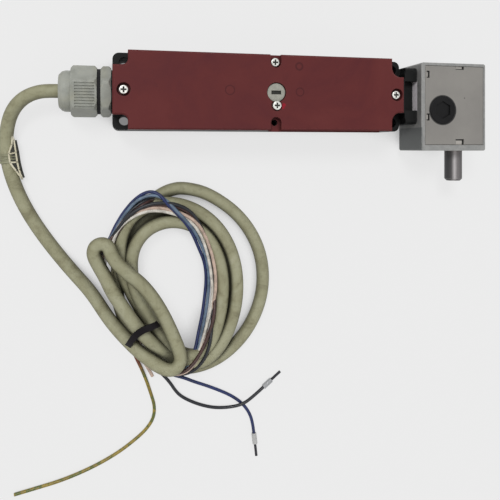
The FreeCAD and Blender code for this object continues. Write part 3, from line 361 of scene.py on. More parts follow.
def cover_red():
    """Maroon plastic with a dull bloom, edges that are rubbed and carry a painted highlight, specks,
    faint moulding rings, and painted shade in its recesses.
    """
    n = Nodes("cover_red")
    bloom = n.noise(38.0, 5.0, 0.62, distortion=0.6)
    base = n.ramp(bloom, [(0.30, rgb(86, 38, 41)), (0.52, rgb(95, 43, 43)), (0.75, rgb(102, 49, 48))])
    specks = n.ramp(n.cells(1.9), [(0.03, 0.35), (0.09, 0.0)])
    base = n.mix(specks, base, rgb(122, 74, 68))
    dirt_and_shade = n.ramp(n.noise(5.0, 6.0, 0.7), [(0.56, 0.0), (0.80, 0.45)])
    base = n.mix(dirt_and_shade, base, rgb(78, 36, 38))
    rings = together(n, [ring_mark(n, *ring) for ring in moulding_rings])
    base = n.mix(n.math("MULTIPLY", rings, 0.6), base, rgb(62, 27, 31))
    # Paler edges: partly real rubbing, partly a painted highlight along the chamfers
    rubbed = n.math("MULTIPLY", n.edges(0.3), n.ramp(n.noise(3.0, 5.0), [(0.35, 0.1), (0.62, 0.8)]))
    base = n.mix(rubbed, base, rgb(150, 98, 92))
    lacquer = together(n, [ring_mark(n, x, y, 0.0, radius) for x, y, radius in lacquer_spots])
    base = n.mix(n.math("MULTIPLY", lacquer, 0.8), base, rgb(150, 26, 44))
    grain = n.noise(0.45, 2.0)
    scratches = n.noise(1.2, 3.0, 0.7, n.stretched(0.15, 1.0, 1.0))
    normal = n.bump(n.math("ADD", grain, n.math("MULTIPLY", scratches, 0.6)), 0.3, 0.05, n.rounded(0.25))
    rough = n.ramp(bloom, [(0.3, 0.5), (0.7, 0.66)])
    return n.finish(shaded(n, base, 2.0, 0.45), rough, normal, specular=0.12)


def rubber():
    """Matt black seal rubber."""
    n = Nodes("gasket_rubber")
    mottle = n.noise(1.5, 4.0)
    base = n.ramp(mottle, [(0.3, rgb(24, 24, 25)), (0.7, rgb(38, 38, 38))])
    normal = n.bump(n.noise(0.3, 2.0), 0.4, 0.05, n.rounded(0.15))
    return n.finish(base, n.ramp(mottle, [(0.3, 0.7), (0.7, 0.85)]), normal, specular=0.2)


def bright_metal(name, dark, light, rough, groove):
    """Metal with fine tool marks, dull spots, painted shade in its recesses and polished edges."""
    n = Nodes(name)
    spots = n.noise(1.6, 5.0, 0.6)
    base = n.ramp(spots, [(0.3, rgb(*dark)), (0.7, rgb(*light))])
    polished = n.math("MULTIPLY", n.edges(0.15), 0.6)
    base = n.mix(polished, base, rgb(*[min(255, c + 30) for c in light]))
    marks = n.noise(0.25, 3.0, 0.6, n.stretched(1.0, 0.12, 1.0))
    normal = n.bump(marks, 0.25, 0.02, n.rounded(0.12))
    roughness = n.ramp(spots, [(0.3, rough), (0.75, min(1.0, rough + 0.2))])
    return n.finish(shaded(n, base, groove, 0.06), roughness, normal, metallic=0.9)


def below(n, top, depth):
    """1 where the piece is more than depth millimetres under its top, in metres."""
    return n.math("SUBTRACT", 1.0, above(n, coordinate(n, "Z"), top - depth * mm, 0.00005))


def recessed_face(name, node, dark, light, rough, depth=0.25, metallic=0.8):
    """A bright face whose recess, a screw's cross or a disc's slot, is painted dark as shade."""
    n = Nodes(name)
    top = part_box(node)[1].z
    spots = n.noise(1.2, 5.0, 0.6)
    face = n.ramp(spots, [(0.3, rgb(*dark)), (0.7, rgb(*light))])
    # Painted shade: whatever lies deeper than depth under the top is painted near black
    sunk = below(n, top, depth)
    dirt_and_shade = n.mix(n.noise(0.5, 3.0), rgb(16, 18, 16), rgb(46, 48, 42))
    base = n.mix(n.math("MULTIPLY", sunk, 0.96), face, dirt_and_shade)
    marks = n.noise(0.3, 3.0, 0.6, n.stretched(1.0, 0.12, 1.0))
    normal = n.bump(marks, 0.25, 0.02, n.rounded(0.15))
    shine = n.math("MULTIPLY", n.math("SUBTRACT", 1.0, sunk), metallic)
    roughness = n.ramp(spots, [(0.3, rough), (0.75, rough + 0.2)])
    return n.finish(base, roughness, normal, metallic=shine, specular=0.2)


def bolt_steel():
    """The ground round bolt: painted shade on its flanks, a painted highlight streaked along it and a
    polished chamfer.
    """
    n = Nodes("steel_bolt")
    low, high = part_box("actuator_bolt")
    radius = (high.x - low.x) / 2
    middle = (high.x + low.x) / 2
    across = n.math("DIVIDE", n.math("SUBTRACT", coordinate(n, "X"), middle), 2 * radius)
    across = n.math("ADD", across, 0.5)
    # Painted light and shade across the bolt: dark flanks, a pale highlight streak and mid tones between
    streak = n.ramp(
        across,
        [(0.10, rgb(62, 62, 64)), (0.24, rgb(82, 80, 80)), (0.36, rgb(176, 172, 172)),
         (0.48, rgb(118, 114, 114)), (0.66, rgb(104, 101, 101)), (0.88, rgb(58, 58, 60))],
    )
    lines = n.noise(0.5, 4.0, 0.65, n.stretched(1.0, 0.06, 1.0))
    base = n.mix(n.math("MULTIPLY", lines, 0.4), streak, rgb(70, 69, 70))
    base = n.mix(n.math("MULTIPLY", n.edges(0.2), 0.8), base, rgb(205, 203, 200))
    normal = n.bump(lines, 0.3, 0.03, n.rounded(0.15))
    return n.finish(base, n.ramp(lines, [(0.3, 0.34), (0.7, 0.5)]), normal, metallic=0.55)


def gland_grey():
    """Pale grey nylon, yellowed, with painted shade in its grooves."""
    n = Nodes("gland_grey")
    grime = n.noise(6.0, 5.0, 0.65)
    base = n.ramp(
        grime, [(0.3, rgb(140, 142, 134)), (0.55, rgb(158, 160, 152)), (0.8, rgb(170, 170, 158))]
    )
    yellow = n.ramp(n.noise(9.0, 3.0), [(0.5, 0.0), (0.75, 0.4)])
    base = n.mix(yellow, base, rgb(150, 148, 124))
    lines = n.noise(0.5, 2.0, 0.5, n.stretched(1.0, 0.2, 0.2))
    normal = n.bump(lines, 0.25, 0.05, n.rounded(0.4))
    rough = n.ramp(grime, [(0.3, 0.38), (0.7, 0.55)])
    return n.finish(shaded(n, base, 0.8, 0.9), rough, normal, specular=0.3)


def die_cast_grey():
    """Painted die casting: pale rims, a bright milled pad at the ears that carries a painted highlight,
    and painted shade on its left side.
    """
    n = Nodes("die_cast_grey")
    mottle = n.noise(3.5, 6.0, 0.68)
    base = n.ramp(
        mottle, [(0.3, rgb(126, 127, 126)), (0.55, rgb(143, 143, 141)), (0.8, rgb(158, 158, 155))]
    )
    pits = n.ramp(n.cells(0.9), [(0.05, 0.5), (0.14, 0.0)])
    base = n.mix(pits, base, rgb(108, 108, 106))
    x, y, z = (coordinate(n, axis) for axis in "XYZ")
    # Painted shade on the head's left side face, where it lies beside the housing
    side = n.math("SUBTRACT", 1.0, above(n, x, head_low.x + 0.0005))
    beside_housing = n.math("SUBTRACT", 1.0, above(n, y, side_shade_y * mm, 0.0004))
    dark = n.math("MULTIPLY", side, beside_housing)
    base = n.mix(n.math("MULTIPLY", dark, 0.9), base, n.mix(mottle, rgb(82, 86, 86), rgb(98, 101, 100)))
    off_middle = n.math("ABSOLUTE", y)
    pad = n.math("MULTIPLY", side, n.math("SUBTRACT", 1.0, above(n, off_middle, pad_half_width * mm)))
    pad = n.math("MULTIPLY", pad, n.math("SUBTRACT", 1.0, above(n, z, pad_top * mm)))
    rubbed = n.math("MULTIPLY", n.edges(0.5), n.ramp(n.noise(2.0, 4.0), [(0.35, 0.0), (0.6, 0.7)]))
    base = n.mix(rubbed, base, rgb(186, 186, 182))
    height = n.math("ADD", n.noise(1.1, 4.0, 0.6), n.math("MULTIPLY", pits, -0.6))
    normal = n.bump(height, 0.5, 0.12, n.rounded(0.4))
    rough = n.ramp(mottle, [(0.3, 0.42), (0.7, 0.6)])
    # The pad is kept out of the painted shade and made near white: its pale metal with a painted
    # highlight
    colour = n.mix(pad, shaded(n, base, 1.2, 0.3), rgb(246, 240, 244))
    metal = n.math("MULTIPLY", n.math("SUBTRACT", 1.0, pad), 0.25)
    return n.finish(colour, rough, normal, metallic=metal)


def plate_grey():
    """The front plate: smooth warm grey paint with stray specks, and painted shade in its clip slots."""
    n = Nodes("plate_grey")
    cloud = n.noise(24.0, 4.0, 0.55)
    base = n.ramp(cloud, [(0.3, rgb(124, 121, 117)), (0.7, rgb(137, 134, 129))])
    specks = n.ramp(n.cells(3.4), [(0.03, 0.6), (0.07, 0.0)])
    base = n.mix(specks, base, rgb(108, 104, 100))
    rubbed = n.math("MULTIPLY", n.edges(0.25), n.ramp(n.noise(2.2, 4.0), [(0.4, 0.1), (0.6, 0.6)]))
    base = n.mix(rubbed, base, rgb(176, 173, 168))
    # Painted shade: the floors of the clip slots, apart from their tabs, are painted near black
    slot = below(n, plate_high.z, 0.6)
    base = n.mix(n.math("MULTIPLY", slot, 0.95), base, rgb(16, 16, 16))
    tabs = n.math("MULTIPLY", together(n, [patch_mark(n, *tab) for tab in clip_tabs]), slot)
    plug_low, plug_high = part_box("head_plug")
    plug = (plug_low + plug_high) / (2 * mm)
    radius = (plug_high.x - plug_low.x) / (2 * mm)
    base = n.mix(ring_mark(n, plug.x, plug.y, radius + 0.2, 0.55), base, rgb(14, 14, 14))
    base = n.mix(ring_mark(n, *plate_mark, 0.0, 0.35), base, rgb(70, 68, 66))
    scratches = n.noise(0.7, 3.0, 0.7, n.stretched(0.2, 1.0, 1.0))
    normal = n.bump(scratches, 0.15, 0.03, n.rounded(0.25))
    colour = n.mix(tabs, shaded(n, base, 0.8, 0.3), rgb(168, 164, 158))
    return n.finish(colour, n.ramp(cloud, [(0.3, 0.4), (0.7, 0.52)]), normal, metallic=0.2)


def sheath():
    """Olive beige cable sheath with grime, scuffs and pale rubbed patches, painted shade on its flanks
    and in its hollows.
    """
    n = Nodes("cable_sheath")
    stains = n.noise(11.0, 6.0, 0.66, distortion=0.8)
    base = n.ramp(
        stains,
        [(0.28, rgb(122, 118, 93)), (0.45, rgb(150, 148, 120)),
         (0.62, rgb(160, 159, 132)), (0.8, rgb(170, 168, 144))],
    )
    grime = n.ramp(n.noise(3.2, 6.0, 0.72), [(0.55, 0.0), (0.78, 0.55)])
    base = n.mix(grime, base, rgb(96, 90, 70))
    scuffs = n.ramp(n.noise(0.9, 5.0, 0.7), [(0.62, 0.0), (0.74, 0.5)])
    base = n.mix(scuffs, base, rgb(84, 80, 66))
    # Painted shade: the flanks, which face away from the light above, are darker than the top
    geometry = n.add("ShaderNodeNewGeometry")
    facing = n.add("ShaderNodeSeparateXYZ")
    n.link(geometry.outputs["Normal"], facing.inputs[0])
    flank = n.ramp(facing.outputs["Z"], [(0.0, 0.75), (0.85, 0.0)])
    base = n.mix(flank, base, rgb(92, 88, 66))
    waves = n.noise(7.0, 2.0, 0.4)
    height = n.math("ADD", n.noise(0.6, 3.0), n.math("MULTIPLY", waves, 4.0))
    normal = n.bump(height, 0.35, 0.08)
    rough = n.ramp(stains, [(0.3, 0.5), (0.7, 0.64)])
    return n.finish(shaded(n, base, 6.0, 0.25), rough, normal, specular=0.25)


def core(name, colour, second=None, near=None):
    """Core insulation with smudges, patches of a second colour, and another tone near the coil."""
    n = Nodes(name)
    smudge = n.noise(4.0, 5.0, 0.65)
    dull = [c * 0.72 for c in colour]
    pale = [min(255, c * 1.12) for c in colour]
    base = n.ramp(smudge, [(0.3, rgb(*dull)), (0.55, rgb(*colour)), (0.8, rgb(*pale))])
    if second:
        around = n.noise(2.6, 1.0, 0.4)
        base = n.mix(n.ramp(around, [(0.50, 0.0), (0.54, 1.0)]), base, rgb(*second))
    if near:
        tone, edge = near
        base = n.mix(above(n, coordinate(n, "Y"), edge * mm, 0.004), base, rgb(*tone))
    normal = n.bump(n.noise(0.5, 3.0), 0.25, 0.04)
    return n.finish(base, n.ramp(smudge, [(0.3, 0.36), (0.7, 0.5)]), normal, specular=0.4)


def ferrule(name, core_end, sleeve, pin):
    """A crimped end: its plastic sleeve, then its ribbed metal pin."""
    n = Nodes(name)
    direction = Vector(core_end[1]) - Vector(core_end[0])
    direction.normalize()
    dot = n.add("ShaderNodeVectorMath", operation="DOT_PRODUCT")
    n.link(n.place, dot.inputs[0])
    dot.inputs[1].default_value = direction
    start = Vector(core_end[1]).dot(direction) * mm
    bare = above(n, dot.outputs["Value"], start + sleeve_length * mm, 0.00003)
    smudge = n.noise(1.4, 4.0)
    base = n.mix(bare, n.mix(smudge, rgb(*sleeve), rgb(*[c * 0.8 for c in sleeve])), rgb(*pin))
    ribs = n.math("SINE", n.math("MULTIPLY", dot.outputs["Value"], pin_rib_rate))
    height = n.math("ADD", n.math("MULTIPLY", ribs, bare), smudge)
    normal = n.bump(height, 0.4, 0.06, n.rounded(0.15))
    rough = n.ramp(smudge, [(0.3, 0.3), (0.7, 0.45)])
    return n.finish(base, rough, normal, metallic=n.math("MULTIPLY", bare, 0.9))


def winding_copper():
    """Enamelled wire, its turns side by side along the bobbin."""
    n = Nodes("winding_copper")
    turns = n.math("SINE", n.math("MULTIPLY", coordinate(n, "X"), 2 * math.pi / (0.35 * mm)))
    tone = n.noise(3.0, 4.0)
    base = n.ramp(tone, [(0.3, rgb(150, 78, 42)), (0.7, rgb(186, 104, 58))])
    # Painted shade in the creases between neighbouring turns
    base = n.mix(n.ramp(turns, [(0.1, 0.7), (0.6, 0.0)]), base, rgb(92, 44, 26))
    normal = n.bump(turns, 0.6, 0.1)
    return n.finish(base, n.ramp(tone, [(0.3, 0.25), (0.7, 0.4)]), normal, metallic=0.7)


def pale_plastic(name, tone, dirty):
    """Smooth plastic, dirty in patches, with paler edges."""
    n = Nodes(name)
    mottle = n.noise(7.0, 5.0, 0.6)
    base = n.ramp(mottle, [(0.35, rgb(*tone)), (0.75, rgb(*dirty))])
    edge = n.math("MULTIPLY", n.edges(0.25), 0.4)
    base = n.mix(edge, base, rgb(*[min(255, c + 16) for c in tone]))
    normal = n.bump(n.noise(0.4, 2.0), 0.3, 0.05, n.rounded(0.2))
    rough = n.ramp(mottle, [(0.3, 0.4), (0.7, 0.55)])
    return n.finish(shaded(n, base, 1.5, 0.5), rough, normal, specular=0.4)


# Places of marks and patches, in millimetres
plate_mark = (113.8, -1.1)
# The cover's faint rings: place, radius and line width
moulding_rings = [(-21.5, 0.7, 2.4, 0.28), (16.4, 0.4, 2.1, 0.3), (16.0, 14.0, 1.8, 0.5)]
# The spots of lacquer that seal the lock screw: place and radius
lacquer_spots = [(7.5, -6.7, 1.0), (7.1, -8.1, 0.7)]
# The painted shade on the head's left side starts here, and the pad between the ears, with its painted
# highlight, ends here
side_shade_y = -17.8
pad_half_width = 8.4
pad_top = 29.2
# The sprung tabs in the front plate's four clip slots: low and high x, low and high y
clip_tabs = [
    (90.0, 91.5, 10.6, 13.1), (90.0, 91.5, -13.3, -10.8),
    (108.9, 112.7, 15.5, 17.0), (108.9, 112.7, -27.6, -25.2),
]
head_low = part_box("head_casing")[0]
plate_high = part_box("head_front_plate")[1]
# The last two points of the cores that carry ferrules
blue_end = [(-2.0, -187.4, 0.98), (-1.3, -194.2, 1.3)]
black_end = [(-1.2, -172.2, 2.2), (4.4, -168.0, 1.5)]
sleeve_length = 6.02
pin_rib_rate = 9000.0


def slot_materials():
    """One material for each of the record's material slots."""
    return {
        "housing_black": moulded_black("housing_black"),
        "cover_red": cover_red(),
        "gasket_rubber": rubber(),
        "zinc_screw": bright_metal("zinc_screw", (188, 188, 182), (226, 226, 220), 0.28, 0.7),
        "release_metal": recessed_face(
            "release_metal", "release_disc", (138, 138, 130), (160, 160, 150), 0.42, metallic=0.5,
        ),
        "gland_grey": gland_grey(),
        "die_cast_grey": die_cast_grey(),
        "plate_grey": plate_grey(),
        "plug_black": moulded_black("plug_black", (15, 15, 16), (60, 60, 62), 0.25),
        "steel_bolt": bolt_steel(),
        "bronze_bush": bright_metal("bronze_bush", (150, 112, 66), (176, 136, 84), 0.35, 1.0),
        "spring_steel": bright_metal("spring_steel", (128, 128, 130), (168, 168, 168), 0.25, 0.6),
        "lever_steel": bright_metal("lever_steel", (134, 134, 132), (164, 164, 160), 0.34, 1.0),
        "contact_brass": bright_metal("contact_brass", (176, 140, 70), (206, 172, 98), 0.3, 0.8),
        "inner_plastic": pale_plastic("inner_plastic", (206, 198, 176), (186, 176, 150)),
        "yoke_steel": bright_metal("yoke_steel", (140, 140, 138), (172, 170, 164), 0.38, 1.2),
        "winding_copper": winding_copper(),
        "cable_sheath": sheath(),
        "core_mixed": core("core_mixed", (214, 209, 199)),
        "core_blue": core("core_blue", (30, 42, 88)),
        "core_black": core("core_black", (28, 30, 36)),
        "core_green_yellow": core(
            "core_green_yellow", (142, 124, 52), (92, 98, 44), ((104, 56, 40), -152.0)
        ),
        "ferrule_metal": ferrule("ferrule_metal", blue_end, (196, 196, 194), (58, 58, 62)),
        "tie_black": moulded_black("tie_black", (14, 10, 14), (50, 46, 52), 0.3),
        "marker_ivory": pale_plastic("marker_ivory", (226, 220, 196), (198, 190, 160)),
    }


def paint(piece, material):
    piece.data.materials.clear()
    piece.data.materials.append(material)


slot_material = slot_materials()
for row in frame["record"]["subparts"]:
    paint(nodes[row["node"]], slot_material[row["material_slot"]])
for screw in ("cover_screws", "release_lock_screw"):
    zinc = recessed_face(screw + "_zinc", screw, (196, 196, 190), (232, 232, 226), 0.3, depth=0.7)
    paint(nodes[screw], zinc)
black_pin = ferrule("ferrule_metal_black", black_end, (170, 172, 174), (44, 44, 48))
paint(nodes["ferrule_black"], black_pin)


# Cable and cores

cable_radius = 3.6
core_radius = 0.9
ring_points = 6


def add_cord(name, points, radius):
    """A smooth round cord through the control points, given in millimetres."""
    data = bpy.data.curves.new(name, "CURVE")
    data.dimensions = "3D"
    data.bevel_depth = 1.0
    data.bevel_resolution = ring_points
    data.use_fill_caps = True
    spline = data.splines.new("NURBS")
    spline.points.add(len(points) - 1)
    for point, place in zip(spline.points, points):
        point.co = (place[0] * mm, place[1] * mm, place[2] * mm, 1.0)
        # The depth of 1 is scaled by the point's radius, which also gives the curve its true box
        point.radius = radius * mm
    spline.order_u = 3
    spline.use_endpoint_u = True
    spline.resolution_u = 10
    cord = bpy.data.objects.new(name, data)
    bpy.context.scene.collection.objects.link(cord)
    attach(cord, "housing")
    return cord


def add_piece(name, mesh, slot, material, *replaced):
    """The mesh as a closed piece on the housing, in place of the replaced nodes."""
    bmesh.ops.recalc_face_normals(mesh, faces=mesh.faces)
    data = bpy.data.meshes.new(name)
    mesh.to_mesh(data)
    mesh.free()
    piece = bpy.data.objects.new(name, data)
    bpy.context.scene.collection.objects.link(piece)
    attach(piece, "housing")
    if replaced:
        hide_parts(*replaced)
    paint(piece, material)


def skin(mesh, rings):
    """Faces between each ring of corners and the next, and one over each end."""
    for a, b in zip(rings, rings[1:]):
        for i in range(len(a)):
            j = (i + 1) % len(a)
            mesh.faces.new((a[i], a[j], b[j], b[i]))
    mesh.faces.new(rings[0])
    mesh.faces.new(rings[-1])


# The route from the gland to the coil
cable_route = [
    (-107.8, 0.0, 16.0), (-113.8, 0.1, 15.9), (-119.8, -0.9, 14.7), (-125.4, -3.4, 12.6),
    (-129.9, -7.4, 10.0), (-133.1, -12.8, 7.5), (-134.9, -19.3, 5.4), (-135.6, -26.6, 4.1),
    (-135.0, -35.5, 3.65), (-132.4, -46.0, 3.7), (-127.6, -58.0, 3.62), (-120.6, -70.5, 3.7),
    (-112.0, -83.0, 3.62), (-102.2, -95.6, 3.7), (-92.0, -107.6, 3.9), (-83.3, -121.6, 5.8),
    (-75.6, -130.4, 9.6),
]

# The strand rises over the coil's bottom, hooks back and makes the long narrow loop
narrow_loop_route = [
    (-67.4, -138.0, 14.2), (-59.8, -143.6, 17.4), (-53.6, -147.4, 18.4), (-48.2, -147.6, 18.8),
    (-45.2, -143.2, 18.8), (-46.2, -137.4, 18.8), (-49.2, -129.8, 18.6), (-52.8, -121.6, 18.6),
    (-56.8, -113.8, 19.0), (-61.6, -106.4, 19.4), (-66.8, -100.2, 19.8), (-73.0, -95.0, 20.4),
    (-78.6, -89.4, 21.2), (-81.8, -84.4, 21.4), (-82.9, -80.3, 21.2), (-86.2, -78.6, 20.8),
    (-89.8, -80.2, 20.2), (-90.8, -84.2, 19.6), (-88.2, -90.0, 19.0), (-84.2, -97.2, 18.8),
    (-81.2, -104.4, 18.8), (-76.6, -111.6, 18.6), (-72.0, -118.6, 18.4), (-67.4, -125.4, 17.6),
    (-62.4, -131.6, 15.6), (-57.0, -137.4, 13.2), (-51.6, -141.8, 11.4), (-44.0, -145.2, 10.6),
]

# Each turn of the coil is an uneven oval: its centre, half length, half width, the tilt of its
# length in degrees, and how far its fuller end and its flat side depart from an oval
turn_outer = (-40.9, -101.4, 50.8, 41.4, 103.8, -0.022, 2.77)
turn_middle = (-44.8, -103.1, 45.4, 29.4, 108.9, 0.151, 2.65)
turn_inner = (-44.4, -106.9, 38.0, 23.1, 105.5, 0.304, 0.84)
turn_under = (-44.6, -105.0, 41.7, 26.3, 107.2, 0.230, 1.70)
turn_steps = 14
floor_layer = 3.62
second_layer = 10.4
# Where the coil starts and ends, and where each turn changes into the next and drops to its
# layer, in degrees counted on from the first turn's top
coil_start = 195
coil_stop = 1410
turn_changes = [(470, 530), (780, 830), (1110, 1175)]
turn_drops = [(470, 530), (770, 830), (1110, 1175)]
# Points next to each other differ a little in height, as on a hand-laid coil
unevenness = 0.08


def turn_place(turn, degrees):
    """A point of a turn: 0 is the top, 90 the left, 180 the bottom and 270 the right."""
    cx, cy, length, width, tilt, fuller, flat = turn
    angle = math.radians(degrees)
    outward = 1 / math.cos(math.pi / turn_steps)
    u = length * math.cos(angle) * outward
    v = width * math.sin(angle) * (1 + fuller * math.cos(angle)) + flat * math.cos(2 * angle)
    v = v * outward
    tilt = math.radians(tilt)
    return (
        cx + u * math.cos(tilt) - v * math.sin(tilt),
        cy + u * math.sin(tilt) + v * math.cos(tilt),
    )


def smooth_step(value, start, end):
    """From 0 at the start to 1 at the end, with soft ends."""
    share = min(1.0, max(0.0, (value - start) / (end - start)))
    return share * share * (3 - 2 * share)


def coil_points():
    """Four turns, top ones first, each passing to the next on the left under the narrow loop."""
    turns = [turn_inner, turn_middle, turn_under, turn_outer]
    heights = [second_layer, second_layer, floor_layer, floor_layer]
    step = 360 / turn_steps
    points = []
    for number in range(int((coil_stop - coil_start) / step) + 1):
        at = coil_start + step * number
        x, y = turn_place(turns[0], at)
        z = heights[0]
        for turn, height, change, drop in zip(turns[1:], heights[1:], turn_changes, turn_drops):
            share = smooth_step(at, *change)
            nx, ny = turn_place(turn, at)
            x, y = x + (nx - x) * share, y + (ny - y) * share
            z = z + (height - z) * smooth_step(at, *drop)
        points.append((x, y, z + unevenness * (number % 2)))
    return points


# The last turn passes under the cores at the top, where the sheath ends
coil_end = [(-42.4, -51.4, 3.7), (-50.4, -52.8, 3.62), (-57.2, -56.6, 3.7), (-60.6, -59.2, 3.62)]


def add_cable():
    points = cable_route + narrow_loop_route + coil_points() + coil_end
    return add_cord("cable_sheath", points, cable_radius)


cable = add_cable()
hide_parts("cable", "cable_coil", "cable_narrow_loop")
paint(cable, slot_material["cable_sheath"])


# The band comes up round the strand from below and lies across the narrow loop
tie_route = [
    (-71.4, -138.4, 2.6), (-73.0, -137.8, 7.0), (-73.4, -136.4, 12.0), (-72.2, -132.6, 17.0),
    (-69.8, -127.8, 20.8), (-66.4, -124.6, 22.8), (-62.4, -123.0, 23.3), (-59.2, -122.4, 22.4),
    (-57.6, -122.4, 19.6),
]
tie_half_width = 1.7
tie_half_thickness = 0.65
# The direction of the strands under the band
tie_strands = Vector((0.66, -0.74, 0.0))


def smoothed(points):
    """The points of an open line with its corners cut off twice."""
    line = [Vector(point) for point in points]
    for _ in range(2):
        cut = [line[0]]
        for a, b in zip(line, line[1:]):
            cut += [a.lerp(b, 0.25), a.lerp(b, 0.75)]
        line = cut + [line[-1]]
    return line


def add_tie():
    """A flat band along its route, its width along the strands that it holds."""
    line = smoothed(tie_route)
    mesh = bmesh.new()
    rings = []
    for number, place in enumerate(line):
        ahead = line[min(number + 1, len(line) - 1)] - line[max(number - 1, 0)]
        ahead.normalize()
        wide = tie_strands - ahead * tie_strands.dot(ahead)
        wide.normalize()
        thick = ahead.cross(wide)
        ring = []
        for u, v in ((1, 1), (-1, 1), (-1, -1), (1, -1)):
            offset = wide * (u * tie_half_width) + thick * (v * tie_half_thickness)
            ring.append(mesh.verts.new((place + offset) * mm))
        rings.append(ring)
    skin(mesh, rings)
    add_piece("tie_band", mesh, "tie_black", slot_material["tie_black"], "cable_tie")


add_tie()

gland_ring_radius = 11.8
gland_ring_length = 1.5
gland_ring_offset = 0.9


def add_gland_ring():
    """A dark ring in the gap between the gland's nut and its body, painted shade for that gap."""
    nut_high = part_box("gland_nut")[1]
    body_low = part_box("gland_body")[0]
    middle = (nut_high + body_low) / 2
    radius = gland_ring_radius * mm
    mesh = bmesh.new()
    bmesh.ops.create_cone(
        mesh, cap_ends=True, segments=64, radius1=radius, radius2=radius, depth=gland_ring_length * mm
    )
    turn = Matrix.Rotation(math.radians(90), 4, "Y")
    place = Matrix.Translation((nut_high.x + gland_ring_offset * mm, middle.y, middle.z))
    bmesh.ops.transform(mesh, matrix=place @ turn, verts=mesh.verts)
    add_piece("gland_gap_shade", mesh, "gasket_rubber", slot_material["gasket_rubber"])


add_gland_ring()


# The clip-on marker: a ribbed band round the cable, and a thin pale frame beside it
band_place = Vector((-135.0, -34.9, 3.66))
band_heading = Vector((0.9, -9.9, 0.0))
# The band is open below, where the cable lies on the floor: degrees from the right over the top
band_arc = range(-50, 231, 10)
# Along the cable, and away from its middle
band_profile = [
    (-2.5, 3.7), (-2.5, 4.1), (-1.2, 4.1), (-1.0, 3.8), (-0.4, 3.8), (-0.2, 4.1), (0.5, 4.1),
    (0.7, 3.8), (1.3, 3.8), (1.5, 4.1), (2.5, 4.1), (2.5, 3.7),
]
frame_outline = [
    (-132.0, -23.3), (-132.3, -27.6), (-133.7, -32.4), (-133.1, -37.0), (-130.3, -41.4),
    (-127.4, -45.8), (-129.0, -40.8), (-129.8, -36.6), (-130.4, -31.7), (-131.3, -25.2),
]
frame_outline_width = 0.75
frame_bar_width = 0.7
frame_thin_bar_width = 0.5
frame_strip_width = 1.1
frame_bars = [((-133.5, -32.4), (-130.5, -31.9)), ((-133.0, -37.0), (-129.8, -36.8))]
frame_thin_bars = [((-133.3, -34.0), (-130.1, -33.6)), ((-133.2, -35.4), (-130.0, -35.1))]
frame_strip = [(-130.6, -25.6), (-129.5, -31.6), (-128.8, -36.8), (-127.9, -41.2), (-126.9, -44.8)]
# How far the bottom and top of each are below the frame's height
bar_depths = (0.8, 0.0)
thin_bar_depths = (0.7, 0.1)
strip_depths = (1.0, 0.3)
panel_depths = (0.7, 0.45)
# How far a bar runs on past its two places, as a share of its width
bar_overlap = 0.3


def frame_top(x):
    """The frame's height in millimetres: it leans from the cable's flank down to its free edge."""
    return 7.9 - 0.5 * (x + 134.0)


def frame_corner(mesh, x, y, depth):
    return mesh.verts.new(Vector((x, y, frame_top(x) - depth)) * mm)


def add_bars(mesh, bars, width, depths):
    """Straight bars, each between two places, at the depths of their bottom and top."""
    for bar in bars:
        start, end = (Vector(place) for place in bar)
        along = (end - start).normalized()
        side = Vector((-along.y, along.x)) * (width / 2)
        start -= along * bar_overlap * width
        end += along * bar_overlap * width
        corners = (start + side, start - side, end - side, end + side)
        skin(mesh, [[frame_corner(mesh, x, y, depth) for x, y in corners] for depth in depths])


def add_marker_frame():
    mesh = bmesh.new()
    outline_bars = zip(frame_outline, frame_outline[1:] + frame_outline[:1])
    add_bars(mesh, outline_bars, frame_outline_width, bar_depths)
    add_bars(mesh, frame_bars, frame_bar_width, bar_depths)
    add_piece("marker_frame", mesh, "marker_ivory", slot_material["marker_ivory"], "cable_marker")


def add_marker_panel():
    """The dark panel behind the frame's windows, painted shade for the cable's shaded side seen through
    them, and the strip along its free edge.
    """
    mesh = bmesh.new()
    skin(mesh, [[frame_corner(mesh, x, y, depth) for x, y in frame_outline] for depth in panel_depths])
    add_bars(mesh, zip(frame_strip, frame_strip[1:]), frame_strip_width, strip_depths)
    material = pale_plastic("marker_shade_panel", (24, 24, 18), (62, 62, 54))
    add_piece("marker_shade_panel", mesh, "marker_ivory", material, "cable_marker")


def add_marker_band():
    """The ribbed band, and the thin bars across the middle window."""
    mesh = bmesh.new()
    ahead = band_heading.normalized()
    up = Vector((0.0, 0.0, 1.0))
    right = ahead.cross(up).normalized()
    rings = []
    for degrees in band_arc:
        out = right * math.cos(math.radians(degrees)) + up * math.sin(math.radians(degrees))
        ring = [band_place + ahead * place + out * radius for place, radius in band_profile]
        rings.append([mesh.verts.new(corner * mm) for corner in ring])
    skin(mesh, rings)
    add_bars(mesh, frame_thin_bars, frame_thin_bar_width, thin_bar_depths)
    material = pale_plastic("marker_band", (150, 150, 124), (112, 110, 84))
    add_piece("marker_band", mesh, "marker_ivory", material, "cable_marker")


add_marker_frame()
add_marker_panel()
add_marker_band()


def measured(cord):
    """The length of a curve's own line, in metres."""
    data = cord.data.copy()
    data.bevel_depth = 0.0
    probe = bpy.data.objects.new("probe", data)
    bpy.context.scene.collection.objects.link(probe)
    mesh = bpy.data.meshes.new_from_object(probe)
    places = [v.co for v in mesh.vertices]
    bpy.data.objects.remove(probe)
    return sum((b - a).length for a, b in zip(places, places[1:]))


measured(cable)

